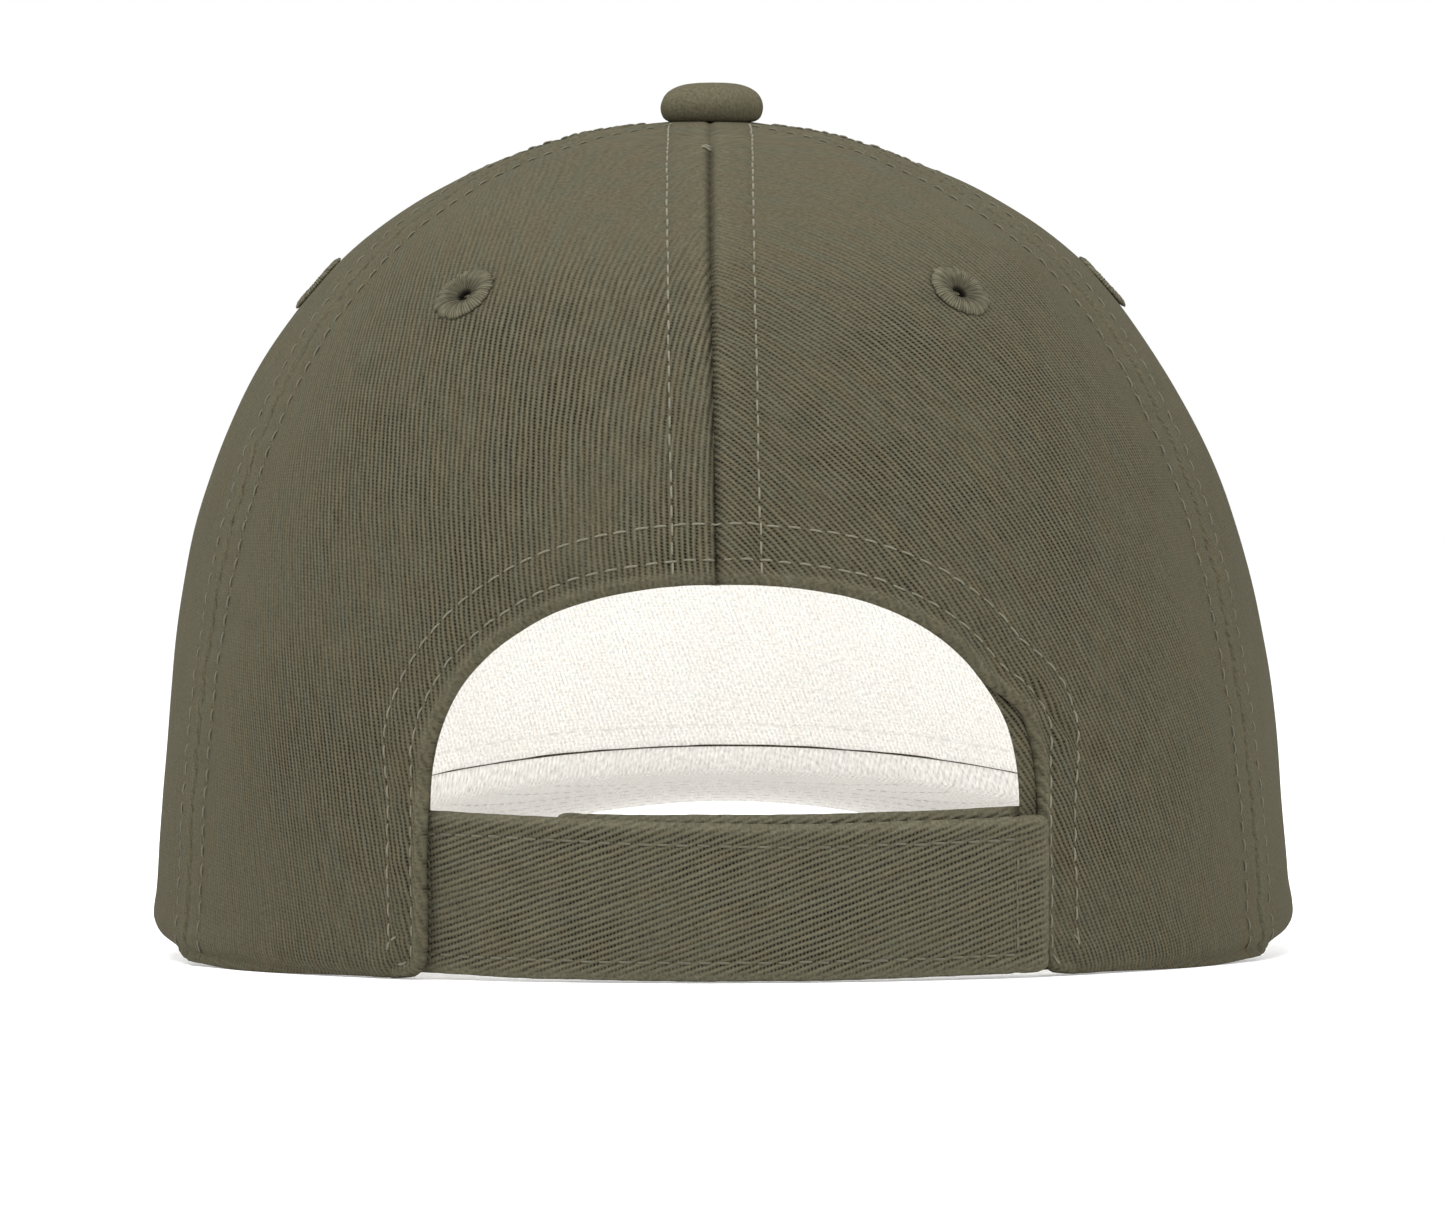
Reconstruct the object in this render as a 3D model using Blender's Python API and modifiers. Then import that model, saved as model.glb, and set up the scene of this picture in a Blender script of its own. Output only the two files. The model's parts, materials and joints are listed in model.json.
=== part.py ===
"""A six-panel baseball cap with a curved visor and a hook-and-loop strap across its rear opening.

Metres, +Z up. The visor points along -Y, so the wearer's left is +X. The cap stands as on a table,
on the rim beside the rear opening and on the visor's two drooping sides.

Places on the crown are given by phase, climb and depth. Phase runs round the crown from the back
centre towards the wearer's left, with a seam at every 60 degrees. Climb is 0 on the rim's plane and
90 degrees at the top. Depth is measured inwards from the outer face of the cloth.
"""
import math

import bmesh
import bpy
from mathutils import Vector

MM = 0.001
SIXTH = math.radians(60)
HALF_TURN = math.pi
TOP = math.pi / 2

# Crown, outer face
CROWN_HALF_WIDTH = 86.6 * MM
CROWN_HALF_LENGTH = 103 * MM
CROWN_HEIGHT = 124.8 * MM
CONE_SHARE = 8 * MM          # part of the height that falls off evenly, which makes the top pointed
BACK_ROUNDNESS = 2.6         # superellipse exponents of the profile
FRONT_ROUNDNESS = 2.9
SEAM_SKEW = math.radians(9)
SEAM_VALLEY = 0.011          # share of the radius by which the crown dips at its seams
VALLEY_SHARPNESS = 3
VALLEY_HEIGHT = 50 * MM      # the seams sink in over this height above the rim
RIM_FLARE = 1.6 * MM
FLARE_HEIGHT = 10 * MM
FRONT_RISE = 21 * MM         # how far the rim arches up over the visor
FRONT_RISE_START = math.radians(75)
APEX_HOLE_RADIUS = 2.4 * MM

# Cloth and the layers inside it, as depths below the outer face
CLOTH = 1.0 * MM
SEAM_GAP = 0.4 * MM
BUCKRAM_DEPTH, BUCKRAM = 1.3 * MM, 0.6 * MM
TAPE_DEPTH, TAPE = 2.2 * MM, 0.7 * MM
TAPE_WIDTH = 15 * MM
TAPE_BOW_RADIUS = 60 * MM    # how the centre tape bends across its width
SWEATBAND_DEPTH, SWEATBAND = 3.6 * MM, 1.2 * MM
SWEATBAND_HEIGHT = 33 * MM
LABEL_DEPTH, LABEL = 5.6 * MM, 0.4 * MM
LABEL_WIDTH, LABEL_LENGTH = 20 * MM, 24 * MM
LABEL_PHASE = math.radians(84)
LINING_RISE = 1 * MM         # inner layers start this far above the rim

# Rear opening: upright sides, then a rounded arch
OPENING_HALF_WIDTH = 43.5 * MM
OPENING_SIDE_HEIGHT = 24 * MM
OPENING_HEIGHT = 58 * MM
ARCH_ROUNDNESS = 2.4
FACING_DEPTH, FACING = 1.5 * MM, 0.5 * MM
FACING_WIDTH = 11 * MM

# Straps. The upper one starts behind the left side of the opening and ends over the right side.
STRAP_LOW, STRAP_HIGH = 1.0 * MM, 24.0 * MM
STRAP = 1.0 * MM
STRAP_UPPER_FOLD_X, STRAP_UPPER_TIP_X = 40 * MM, -46.5 * MM
STRAP_UPPER_FOLD_DEPTH, STRAP_UPPER_TIP_DEPTH = 1.4 * MM, -1.6 * MM
STRAP_LOWER_FOLD_X, STRAP_LOWER_TIP_X = -40 * MM, 26 * MM
STRAP_LOWER_RAISE = 0.8 * MM
STRAP_ROOT_LENGTH = 15 * MM
FASTENER = 0.8 * MM
FASTENER_GAP = 0.3 * MM
FASTENER_MARGIN = 3 * MM
HOOK_SPAN = (-43.5 * MM, 6 * MM)
LOOP_SPAN = (-36 * MM, 24 * MM)

# Visor
VISOR_SPREAD = math.radians(66)      # phase of its corners, either side of the front centre
VISOR_HALF_WIDTH = 85 * MM
VISOR_CORNER_Y = -36 * MM
VISOR_FRONT_Y = -173 * MM
VISOR_ROUNDNESS = 2.3
VISOR_BOW_RADIUS = 120 * MM
VISOR_SLOPE = 0.15
VISOR_COVER = 0.7 * MM
VISOR_BOARD = 2.0 * MM
VISOR_GAP = 0.6 * MM
BOARD_SPREAD = 0.86          # how far towards the visor's corners the board reaches
BOARD_INSET = 4.6 * MM
VISOR_FLANGE_HEIGHT = 8 * MM
VISOR_THICKNESS = 2 * VISOR_COVER + 2 * VISOR_GAP + VISOR_BOARD

# Sewn eyelets, one in each panel
EYELET_CLIMB = math.radians(51.5)
EYELET_HOLE = 2.1 * MM
EYELET_RADIUS = 4.9 * MM
EYELET_NECK = 3.2 * MM
EYELET_CUT = 3.6 * MM
BUCKRAM_CUT = 5.6 * MM

# Top button
BUTTON_RADIUS = 7.5 * MM
BUTTON_HEIGHT = 5.0 * MM
BUTTON_LIFT = 0.5 * MM
BUTTON_CLOTH = 0.6 * MM
BUTTON_METAL = 0.5 * MM
POST_RADIUS = 1.5 * MM
WASHER_RADIUS = 6 * MM
WASHER_DROP = 1.4 * MM       # room for the slope of the crown under the washer

OLIVE = (0.155, 0.140, 0.095)
NATURAL = (0.72, 0.70, 0.64)
WHITE = (0.80, 0.80, 0.78)
BLACK = (0.03, 0.03, 0.03)
STEEL = (0.55, 0.55, 0.56)

COLUMNS = 10
ROWS = 14


def smoothstep(x):
    x = min(max(x, 0.0), 1.0)
    return x * x * (3 - 2 * x)


def blend(a, b, share):
    return a + (b - a) * share


# ---- the crown's surface ----

def turn_of(phase):
    """The plan angle of a phase; the skew makes the rear and front panels wider than the side ones."""
    return phase + SEAM_SKEW * math.sin(2 * phase)


def rim_height(phase):
    rise = (abs(phase) - FRONT_RISE_START) / (HALF_TURN - FRONT_RISE_START)
    return FRONT_RISE * smoothstep(rise)


def profile(phase, climb):
    """Share of the plan radius, and height."""
    front = smoothstep((abs(phase) - TOP) / TOP)
    power = 2 / blend(BACK_ROUNDNESS, FRONT_ROUNDNESS, front)
    reach = max(math.cos(climb), 0.0) ** power
    height = (CROWN_HEIGHT - CONE_SHARE) * math.sin(climb) ** power + CONE_SHARE * (1 - reach)
    return reach, height


def outer_point(phase, climb, seams=True):
    reach, height = profile(phase, climb)
    valley = (0.5 + 0.5 * math.cos(6 * phase)) ** VALLEY_SHARPNESS if seams else 0
    lift = max(height - rim_height(phase), 0)
    dip = SEAM_VALLEY * valley * smoothstep(lift / VALLEY_HEIGHT)
    beside = smoothstep((abs(phase) - SIXTH / 2) / SIXTH)
    flare = RIM_FLARE * math.exp(-lift / FLARE_HEIGHT) * beside
    turn = turn_of(phase)
    across = (CROWN_HALF_WIDTH * (1 - dip) + flare) * reach
    along = (CROWN_HALF_LENGTH * (1 - dip) + flare) * reach
    return Vector((across * math.sin(turn), along * math.cos(turn), height))


def outward(phase, climb, seams=True):
    step = 1e-3
    low = max(climb - step, 0.0)
    rise = outer_point(phase, climb + step, seams) - outer_point(phase, low, seams)
    round_ = outer_point(phase + step, climb, seams) - outer_point(phase - step, climb, seams)
    return rise.cross(round_).normalized()


def crown_point(phase, climb, depth, seams=True):
    return outer_point(phase, climb, seams) - depth * outward(phase, climb, seams)


def bisect(low, high, too_low):
    for _ in range(40):
        middle = (low + high) / 2
        if too_low(middle):
            low = middle
        else:
            high = middle
    return (low + high) / 2


def climb_at(phase, height):
    return bisect(0, TOP, lambda climb: profile(phase, climb)[1] < height)


def climb_near_axis(phase, radius):
    """The climb at which the crown comes within radius of its axis."""
    def too_low(climb):
        return outer_point(phase, climb).xy.length > radius
    return bisect(0, TOP, too_low)


def back_place(x, height):
    """Phase and climb of the place at x and height on the back of the crown."""
    climb = climb_at(0, height)
    phase = bisect(-TOP, TOP, lambda p: outer_point(p, climb, False).x < x)
    return phase, climb


# ---- making objects ----

def clear_scene():
    for item in list(bpy.data.objects):
        bpy.data.objects.remove(item, do_unlink=True)


def collection(name):
    group = bpy.data.collections.new(name)
    bpy.context.scene.collection.children.link(group)
    return group


def finish(item, colour, roughness=0.9, metallic=0.0):
    material = bpy.data.materials.new(item.name)
    material.use_nodes = True
    shader = material.node_tree.nodes["Principled BSDF"]
    shader.inputs["Base Color"].default_value = (*colour, 1)
    shader.inputs["Roughness"].default_value = roughness
    shader.inputs["Metallic"].default_value = metallic
    item.data.materials.append(material)
    return item


def add_object(name, mesh, group, parent):
    item = bpy.data.objects.new(name, mesh)
    group.objects.link(item)
    item.parent = parent
    return item


def sheet(name, columns, rows, place, thickness, group, parent):
    """A grid whose point (u, v) goes to place(u, v), thickened behind its outward face."""
    mesh = bpy.data.meshes.new(name)
    grid = bmesh.new()
    bmesh.ops.create_grid(grid, x_segments=columns, y_segments=rows, size=0.5)
    for vert in grid.verts:
        vert.co = place(vert.co.x + 0.5, vert.co.y + 0.5)
    grid.to_mesh(mesh)
    grid.free()
    mesh.shade_smooth()
    item = add_object(name, mesh, group, parent)
    solid = item.modifiers.new("thickness", "SOLIDIFY")
    solid.thickness = thickness
    solid.offset = -1
    return item


def turned(name, outline, steps, group, parent):
    """A solid of revolution about its own Z axis; outline is (radius, height), down the outer side."""
    mesh = bpy.data.meshes.new(name)
    shape = bmesh.new()
    verts = [shape.verts.new((radius, 0, height)) for radius, height in outline]
    for first, second in zip(verts, verts[1:]):
        shape.edges.new((first, second))
    if outline[0][0] > 0:
        shape.edges.new((verts[-1], verts[0]))
    shape.to_mesh(mesh)
    shape.free()
    item = add_object(name, mesh, group, parent)
    screw = item.modifiers.new("turn", "SCREW")
    screw.steps = screw.render_steps = steps
    screw.use_merge_vertices = True
    screw.merge_threshold = 0.00001
    screw.use_smooth_shade = True
    return item


def cut(item, cutter):
    boolean = item.modifiers.new("cut by " + cutter.name, "BOOLEAN")
    boolean.operation = "DIFFERENCE"
    boolean.solver = "EXACT"
    boolean.object = cutter


def hide_cutter(item):
    item.hide_render = True
    item.display_type = "WIRE"
    return item


# ---- crown ----

def seam_phase(seam, side, climb):
    """The phase of a panel's edge, half a seam gap to one side of the seam."""
    radius = outer_point(seam, climb).xy.length
    return seam + side * math.asin(SEAM_GAP / 2 / radius)


def rising(phase, start, share, top_radius=APEX_HOLE_RADIUS):
    """Climb at a share of the way from start above the rim up to top_radius from the axis."""
    low = climb_at(phase, rim_height(phase) + start)
    return blend(low, climb_near_axis(phase, top_radius), share)


def panel(name, first_seam, group, parent):
    def place(u, v):
        phase = blend(first_seam + SIXTH, first_seam, u)
        climb = rising(phase, 0, v)
        left = seam_phase(first_seam + SIXTH, -1, climb)
        right = seam_phase(first_seam, 1, climb)
        return crown_point(blend(left, right, u), climb, 0)
    return finish(sheet(name, COLUMNS, ROWS, place, CLOTH, group, parent), OLIVE)


def buckram(name, first_seam, group, parent):
    def place(u, v):
        phase = blend(first_seam + SIXTH, first_seam, u)
        climb = rising(phase, LINING_RISE, v, 4 * APEX_HOLE_RADIUS)
        left = seam_phase(first_seam + SIXTH, -1, climb)
        right = seam_phase(first_seam, 1, climb)
        return crown_point(blend(left, right, u), climb, BUCKRAM_DEPTH)
    return finish(sheet(name, COLUMNS, ROWS, place, BUCKRAM, group, parent), WHITE)


def seam_tape(name, seam, start, group, parent):
    top_radius = TAPE_WIDTH

    def place(u, v):
        climb = rising(seam, start, v, top_radius)
        radius = outer_point(seam, climb).xy.length
        spread = TAPE_WIDTH / 2 / radius
        return crown_point(seam + blend(spread, -spread, u), climb, TAPE_DEPTH)
    return finish(sheet(name, 2, ROWS, place, TAPE, group, parent), NATURAL)


def centre_tape(group, parent):
    """One tape from the front rim over the top to the edge of the rear opening's facing."""
    front_start = climb_at(HALF_TURN, FRONT_RISE + VISOR_FLANGE_HEIGHT + 3 * LINING_RISE)
    back_start = climb_at(0, OPENING_HEIGHT + FACING_WIDTH + LINING_RISE)

    def place(u, v):
        along = blend(front_start, HALF_TURN - back_start, v)
        seam, climb = (HALF_TURN, along) if along < TOP else (0, HALF_TURN - along)
        climb = min(climb, TOP - 2e-3)
        aside = (u - 0.5) * TAPE_WIDTH
        drop = aside * aside / (2 * TAPE_BOW_RADIUS)
        place = outer_point(seam, climb) - (TAPE_DEPTH + drop) * outward(seam, climb)
        return Vector((aside, place.y, place.z))
    tape = sheet("seam_tape_centre", 2, 2 * ROWS, place, TAPE, group, parent)
    return finish(tape, NATURAL)


def sweatband(group, parent):
    end = back_place(OPENING_HALF_WIDTH + 3 * MM, STRAP_HIGH)[0]

    def place(u, v):
        phase = blend(2 * HALF_TURN - end, end, u)
        if phase > HALF_TURN:
            phase -= 2 * HALF_TURN
        low = rim_height(phase) + LINING_RISE
        climb = climb_at(phase, low + v * SWEATBAND_HEIGHT)
        return crown_point(phase, climb, SWEATBAND_DEPTH)
    band = sheet("sweatband", 6 * COLUMNS, 3, place, SWEATBAND, group, parent)
    return finish(band, NATURAL)


# ---- rear opening ----

def opening_edge(share, beyond=0.0):
    """A point (x, height) on the opening's edge, moved outwards by beyond; share runs left to right."""
    angle = math.pi * share
    power = 2 / ARCH_ROUNDNESS
    bow = math.copysign(abs(math.cos(angle)) ** power, math.cos(angle))
    crest = math.sin(angle) ** power
    x = (OPENING_HALF_WIDTH + beyond) * bow
    height = OPENING_SIDE_HEIGHT + (OPENING_HEIGHT - OPENING_SIDE_HEIGHT + beyond) * crest
    return x, height


def opening_cutter(group, parent):
    """A prism with the opening's outline, through the back of the crown."""
    steps = 24
    outline = [opening_edge(step / steps) for step in range(steps + 1)]
    outline += [(-OPENING_HALF_WIDTH, -STRAP_HIGH), (OPENING_HALF_WIDTH, -STRAP_HIGH)]
    shape = bmesh.new()
    verts = [shape.verts.new((x, CROWN_HALF_LENGTH / 2, height)) for x, height in outline]
    face = shape.faces.new(verts)
    push = bmesh.ops.extrude_face_region(shape, geom=[face])
    moved = [item for item in push["geom"] if isinstance(item, bmesh.types.BMVert)]
    bmesh.ops.translate(shape, verts=moved, vec=(0, CROWN_HALF_LENGTH, 0))
    bmesh.ops.recalc_face_normals(shape, faces=shape.faces)
    mesh = bpy.data.meshes.new("opening_cutter")
    shape.to_mesh(mesh)
    shape.free()
    return hide_cutter(add_object("opening_cutter", mesh, group, parent))


def opening_facing(group, parent):
    """The tape that backs the arch, from just above one strap to just above the other."""
    margin = 0.03

    def place(u, v):
        x, height = opening_edge(blend(margin, 1 - margin, u), blend(0.5 * MM, FACING_WIDTH, v))
        phase, climb = back_place(x, height)
        return crown_point(phase, climb, FACING_DEPTH)
    facing = sheet("opening_facing", 3 * COLUMNS, 2, place, FACING, group, parent)
    return finish(facing, NATURAL)


# ---- eyelets ----

def eyelet_frame(name, phase, group, parent):
    """An empty on the crown's face, its Z axis pointing out of the cloth."""
    frame = add_object(name, None, group, parent)
    frame.location = outer_point(phase, EYELET_CLIMB)
    frame.rotation_euler = outward(phase, EYELET_CLIMB).to_track_quat("Z", "Y").to_euler()
    return frame


def eyelet(name, group, frame):
    """A ring of thread that clasps the cloth: a flange outside, a neck in the hole, a flange inside."""
    outer_face = 0.15 * MM
    inner_face = -CLOTH - 0.45 * MM
    outline = [
        (EYELET_HOLE, outer_face + 0.2 * MM),
        (blend(EYELET_HOLE, EYELET_RADIUS, 0.4), outer_face + 0.7 * MM),
        (EYELET_RADIUS, outer_face + 0.2 * MM),
        (EYELET_RADIUS, outer_face),
        (EYELET_NECK, outer_face),
        (EYELET_NECK, inner_face),
        (EYELET_RADIUS, inner_face),
        (EYELET_RADIUS, inner_face - 0.4 * MM),
        (EYELET_HOLE, inner_face - 0.4 * MM),
    ]
    return finish(turned(name, outline, 18, group, frame), OLIVE)


def eyelet_cutter(name, radius, group, frame):
    mesh = bpy.data.meshes.new(name)
    shape = bmesh.new()
    bmesh.ops.create_cone(shape, cap_ends=True, segments=18, radius1=radius, radius2=radius,
                          depth=12 * CLOTH)
    shape.to_mesh(mesh)
    shape.free()
    return hide_cutter(add_object(name, mesh, group, frame))


# ---- button ----

def dome_outline(radius, base, top, thickness, lip):
    """The outline of a shallow turned shell, closed at the top, with a lip turned in underneath."""
    steps = 6
    def arc(r, low, high, step):
        angle = math.radians(90 * step / steps)
        return r * math.sin(angle), low + (high - low) * math.cos(angle)
    shoulder = blend(base, top, 0.3)
    outer = [arc(radius, shoulder, top, step) for step in range(steps + 1)]
    inner = [arc(radius - thickness, shoulder, top - thickness, step)
             for step in range(steps, -1, -1)]
    under = [(radius - thickness / 2, base), (lip, base), (lip, base + thickness),
             (radius - thickness, base + thickness)]
    outline = outer + under + inner
    return [(abs(r) if r > 1e-9 else 0.0, height) for r, height in outline]


def button(group, parent):
    frame = add_object("button_frame", None, group, parent)
    frame.location = (0, 0, CROWN_HEIGHT)
    gap = SEAM_GAP
    base, top = BUTTON_LIFT, BUTTON_HEIGHT
    cover = dome_outline(BUTTON_RADIUS, base, top, BUTTON_CLOTH, 4.5 * MM)
    finish(turned("button_cover", cover, 24, group, frame), OLIVE)

    step = BUTTON_CLOTH + gap
    shell = dome_outline(BUTTON_RADIUS - step, base + step, top - step, BUTTON_METAL, 5 * MM)
    finish(turned("button_shell", shell, 24, group, frame), STEEL, 0.4, 1)

    plate_low = base + step + BUTTON_METAL + gap
    plate_high = plate_low + BUTTON_METAL
    high = -TAPE_DEPTH - TAPE - WASHER_DROP
    low = high - BUTTON_METAL
    foot = low - BUTTON_METAL
    post = [(0, plate_high), (4.6 * MM, plate_high), (4.6 * MM, plate_low),
            (POST_RADIUS, plate_low), (POST_RADIUS, foot), (0, foot)]
    finish(turned("button_post", post, 20, group, frame), STEEL, 0.4, 1)

    hole = POST_RADIUS + gap
    washer = [(hole, high), (WASHER_RADIUS, high), (WASHER_RADIUS, low), (hole, low)]
    finish(turned("button_washer", washer, 20, group, frame), STEEL, 0.4, 1)


def post_cutter(group, parent):
    """Clears the centre tape for the button's post."""
    mesh = bpy.data.meshes.new("post_cutter")
    shape = bmesh.new()
    bmesh.ops.create_cone(shape, cap_ends=True, segments=16, radius1=APEX_HOLE_RADIUS,
                          radius2=APEX_HOLE_RADIUS, depth=20 * CLOTH)
    shape.to_mesh(mesh)
    shape.free()
    item = hide_cutter(add_object("post_cutter", mesh, group, parent))
    item.location = (0, 0, CROWN_HEIGHT)
    return item


# ---- straps ----

def upper_depth(x):
    """Depth of the upper strap's outer face: behind the left side, over the right side."""
    share = (x - STRAP_UPPER_TIP_X) / (STRAP_UPPER_FOLD_X - STRAP_UPPER_TIP_X)
    return blend(STRAP_UPPER_TIP_DEPTH, STRAP_UPPER_FOLD_DEPTH, min(share, 1))


def hook_depth(x):
    return upper_depth(x) + STRAP + FASTENER_GAP


def loop_depth(x):
    return hook_depth(x) + FASTENER + FASTENER_GAP


def lower_depth(x):
    return loop_depth(x) + FASTENER + FASTENER_GAP


def band(name, span, heights, depth_at, thickness, columns, colour, group, parent):
    """A strip along the back of the crown between two x values, at depth_at(x)."""
    def place(u, v):
        x = blend(span[1], span[0], u)
        phase, climb = back_place(x, blend(heights[0], heights[1], v))
        return crown_point(phase, climb, depth_at(x), False)
    return finish(sheet(name, columns, 2, place, thickness, group, parent), colour)


def hinge_at(name, x, depth, group, parent):
    """An empty on an upright axis; what moves about it is parented to it."""
    middle = (STRAP_LOW + STRAP_HIGH) / 2
    phase, climb = back_place(x, middle)
    hinge = add_object(name, None, group, parent)
    hinge.location = crown_point(phase, climb, depth, False)
    return hinge


def ride(item, hinge):
    """Hang item on hinge without moving it."""
    item.parent = hinge
    item.matrix_parent_inverse.translation = -hinge.location


def straps(group, parent):
    heights = (STRAP_LOW, STRAP_HIGH)
    inner = (STRAP_LOW + FASTENER_MARGIN, STRAP_HIGH - FASTENER_MARGIN)
    raised = (STRAP_LOW + STRAP_LOWER_RAISE, STRAP_HIGH + STRAP_LOWER_RAISE)
    gap = FASTENER_GAP

    upper_hinge = hinge_at("strap_upper_hinge", STRAP_UPPER_FOLD_X, STRAP_UPPER_FOLD_DEPTH,
                           group, parent)
    upper_span = (STRAP_UPPER_TIP_X, STRAP_UPPER_FOLD_X)
    ride(band("strap_upper", upper_span, heights, upper_depth, STRAP, 14, OLIVE, group, parent),
         upper_hinge)
    ride(band("hook_tape", HOOK_SPAN, inner, hook_depth, FASTENER, 8, BLACK, group, parent),
         upper_hinge)
    root = (STRAP_UPPER_FOLD_X + gap, STRAP_UPPER_FOLD_X + STRAP_ROOT_LENGTH)
    band("strap_upper_root", root, heights, upper_depth, STRAP, 3, OLIVE, group, parent)

    lower_hinge = hinge_at("strap_lower_hinge", STRAP_LOWER_FOLD_X,
                           lower_depth(STRAP_LOWER_FOLD_X) + STRAP, group, parent)
    lower_span = (STRAP_LOWER_FOLD_X, STRAP_LOWER_TIP_X)
    ride(band("strap_lower", lower_span, raised, lower_depth, STRAP, 12, OLIVE, group, parent),
         lower_hinge)
    ride(band("loop_tape", LOOP_SPAN, inner, loop_depth, FASTENER, 10, BLACK, group, parent),
         lower_hinge)

    def root_depth(x):
        return lower_depth(STRAP_LOWER_FOLD_X)
    root = (STRAP_LOWER_FOLD_X - STRAP_ROOT_LENGTH, STRAP_LOWER_FOLD_X - gap)
    band("strap_lower_root", root, raised, root_depth, STRAP, 3, OLIVE, group, parent)


# ---- care label ----

def care_label(group, parent):
    """A blank label that hangs over the sweatband and lifts about its sewn top edge."""
    top = LINING_RISE + SWEATBAND_HEIGHT - 2 * MM
    radius = outer_point(LABEL_PHASE, 0).xy.length
    spread = LABEL_WIDTH / 2 / radius

    def place(u, v):
        phase = LABEL_PHASE + blend(spread, -spread, u)
        climb = climb_at(phase, top - LABEL_LENGTH * (1 - v))
        return crown_point(phase, climb, LABEL_DEPTH, False)
    hinge = add_object("label_hinge", None, group, parent)
    hinge.location = crown_point(LABEL_PHASE, climb_at(LABEL_PHASE, top), LABEL_DEPTH, False)
    ride(finish(sheet("care_label", 4, 4, place, LABEL, group, parent), WHITE), hinge)


# ---- visor ----

def visor_surface(x, y):
    """Height of the visor's top face before it is trimmed to meet the rim."""
    front_y = -CROWN_HALF_LENGTH
    return FRONT_RISE + (y - front_y) * VISOR_SLOPE - x * x / (2 * VISOR_BOW_RADIUS)


def visor_top(side, reach):
    """A point on the visor's top face: side runs -1 to 1, reach is 0 at the crown and 1 at the edge."""
    phase = HALF_TURN - abs(side) * VISOR_SPREAD
    root = outer_point(phase, climb_at(phase, rim_height(phase)))
    angle = abs(side) * TOP
    power = 2 / VISOR_ROUNDNESS
    edge_x = VISOR_HALF_WIDTH * math.sin(angle) ** power
    edge_y = blend(VISOR_CORNER_Y, VISOR_FRONT_Y, max(math.cos(angle), 0) ** power)
    x = blend(root.x, edge_x, reach)
    y = blend(root.y, edge_y, reach)
    misfit = root.z - VISOR_GAP - visor_surface(root.x, root.y)
    height = visor_surface(x, y) + misfit * (1 - reach) ** 2
    return Vector((math.copysign(x, side), y, height))


def visor_normal(side, reach):
    step = 1e-3
    reach = min(max(reach, step), 1 - step)
    side = min(max(side, step - 1), 1 - step)
    out = visor_top(side, reach + step) - visor_top(side, reach - step)
    across = visor_top(side + step, reach) - visor_top(side - step, reach)
    return across.cross(out).normalized() * -1


def visor_point(side, reach, drop, beyond=0.0):
    """A point drop below the top face and beyond past the place given by side and reach."""
    point = visor_top(side, reach)
    out = (visor_top(side, 1) - visor_top(side, 0)).normalized()
    return point - visor_normal(side, reach) * drop + out * beyond


def route_point(route, share):
    """The point at a share of the way along a list of equally weighted stops."""
    span = share * (len(route) - 1)
    index = min(int(span), len(route) - 2)
    return route[index].lerp(route[index + 1], span - index)


def flange_point(side, lift):
    """A point on the seam allowance behind the buckram, lift above the rim."""
    phase = HALF_TURN - abs(side) * VISOR_SPREAD
    climb = climb_at(phase, rim_height(phase) + lift)
    point = crown_point(phase, climb, TAPE_DEPTH)
    return Vector((math.copysign(point.x, side), point.y, point.z))


def visor_top_cover(group, parent):
    """Cloth from the visor's edge over its top, under the crown's rim and up behind the buckram."""
    across = 8

    def place(u, v):
        side = 2 * u - 1
        route = [visor_point(side, 1, VISOR_THICKNESS / 2 - VISOR_GAP, 0.2 * MM)]
        route.append(visor_point(side, 1, 0.3 * VISOR_THICKNESS, 0.2 * MM))
        route += [visor_point(side, 1 - step / across, 0) for step in range(across + 1)]
        route += [flange_point(side, 0), flange_point(side, VISOR_FLANGE_HEIGHT)]
        return route_point(route, v)
    cover = sheet("visor_top_cover", 2 * COLUMNS, across + 4, place, VISOR_COVER, group, parent)
    return finish(cover, OLIVE)


def visor_board(group, parent):
    drop = VISOR_COVER + VISOR_GAP
    inset = BOARD_INSET

    def place(u, v):
        side = min(max(2 * u - 1, -BOARD_SPREAD), BOARD_SPREAD)
        return visor_point(side, 1 - v, drop, blend(-inset, inset, v))
    board = sheet("visor_board", 2 * COLUMNS, 8, place, VISOR_BOARD, group, parent)
    return finish(board, WHITE, 0.6)


def visor_under_cover(group, parent):
    """Cloth from the visor's edge over its underside to the seam at the crown."""
    drop = VISOR_THICKNESS - VISOR_COVER
    across = 8

    def place(u, v):
        side = 1 - 2 * u
        route = [visor_point(side, 1 - step / across, VISOR_THICKNESS) for step in range(across + 1)]
        route = [visor_point(side, 1, 0.7 * VISOR_THICKNESS, 0.2 * MM)] + route
        route = [visor_point(side, 1, VISOR_THICKNESS / 2 + VISOR_GAP, 0.2 * MM)] + route
        return route_point(route, v)
    cover = sheet("visor_under_cover", 2 * COLUMNS, across + 2, place, VISOR_COVER, group, parent)
    return finish(cover, NATURAL)


# ---- the whole cap ----

PANELS = {"rear_left": 0, "side_left": 1, "front_left": 2,
          "front_right": 3, "side_right": 4, "rear_right": 5}
SIDE_SEAMS = {"rear_left": 1, "front_left": 2, "front_right": 4, "rear_right": 5}


def wrapped(phase):
    """The same place on the crown, as a phase between -180 and 180 degrees."""
    return phase - 2 * HALF_TURN if phase > HALF_TURN + 1e-9 else phase


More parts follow.
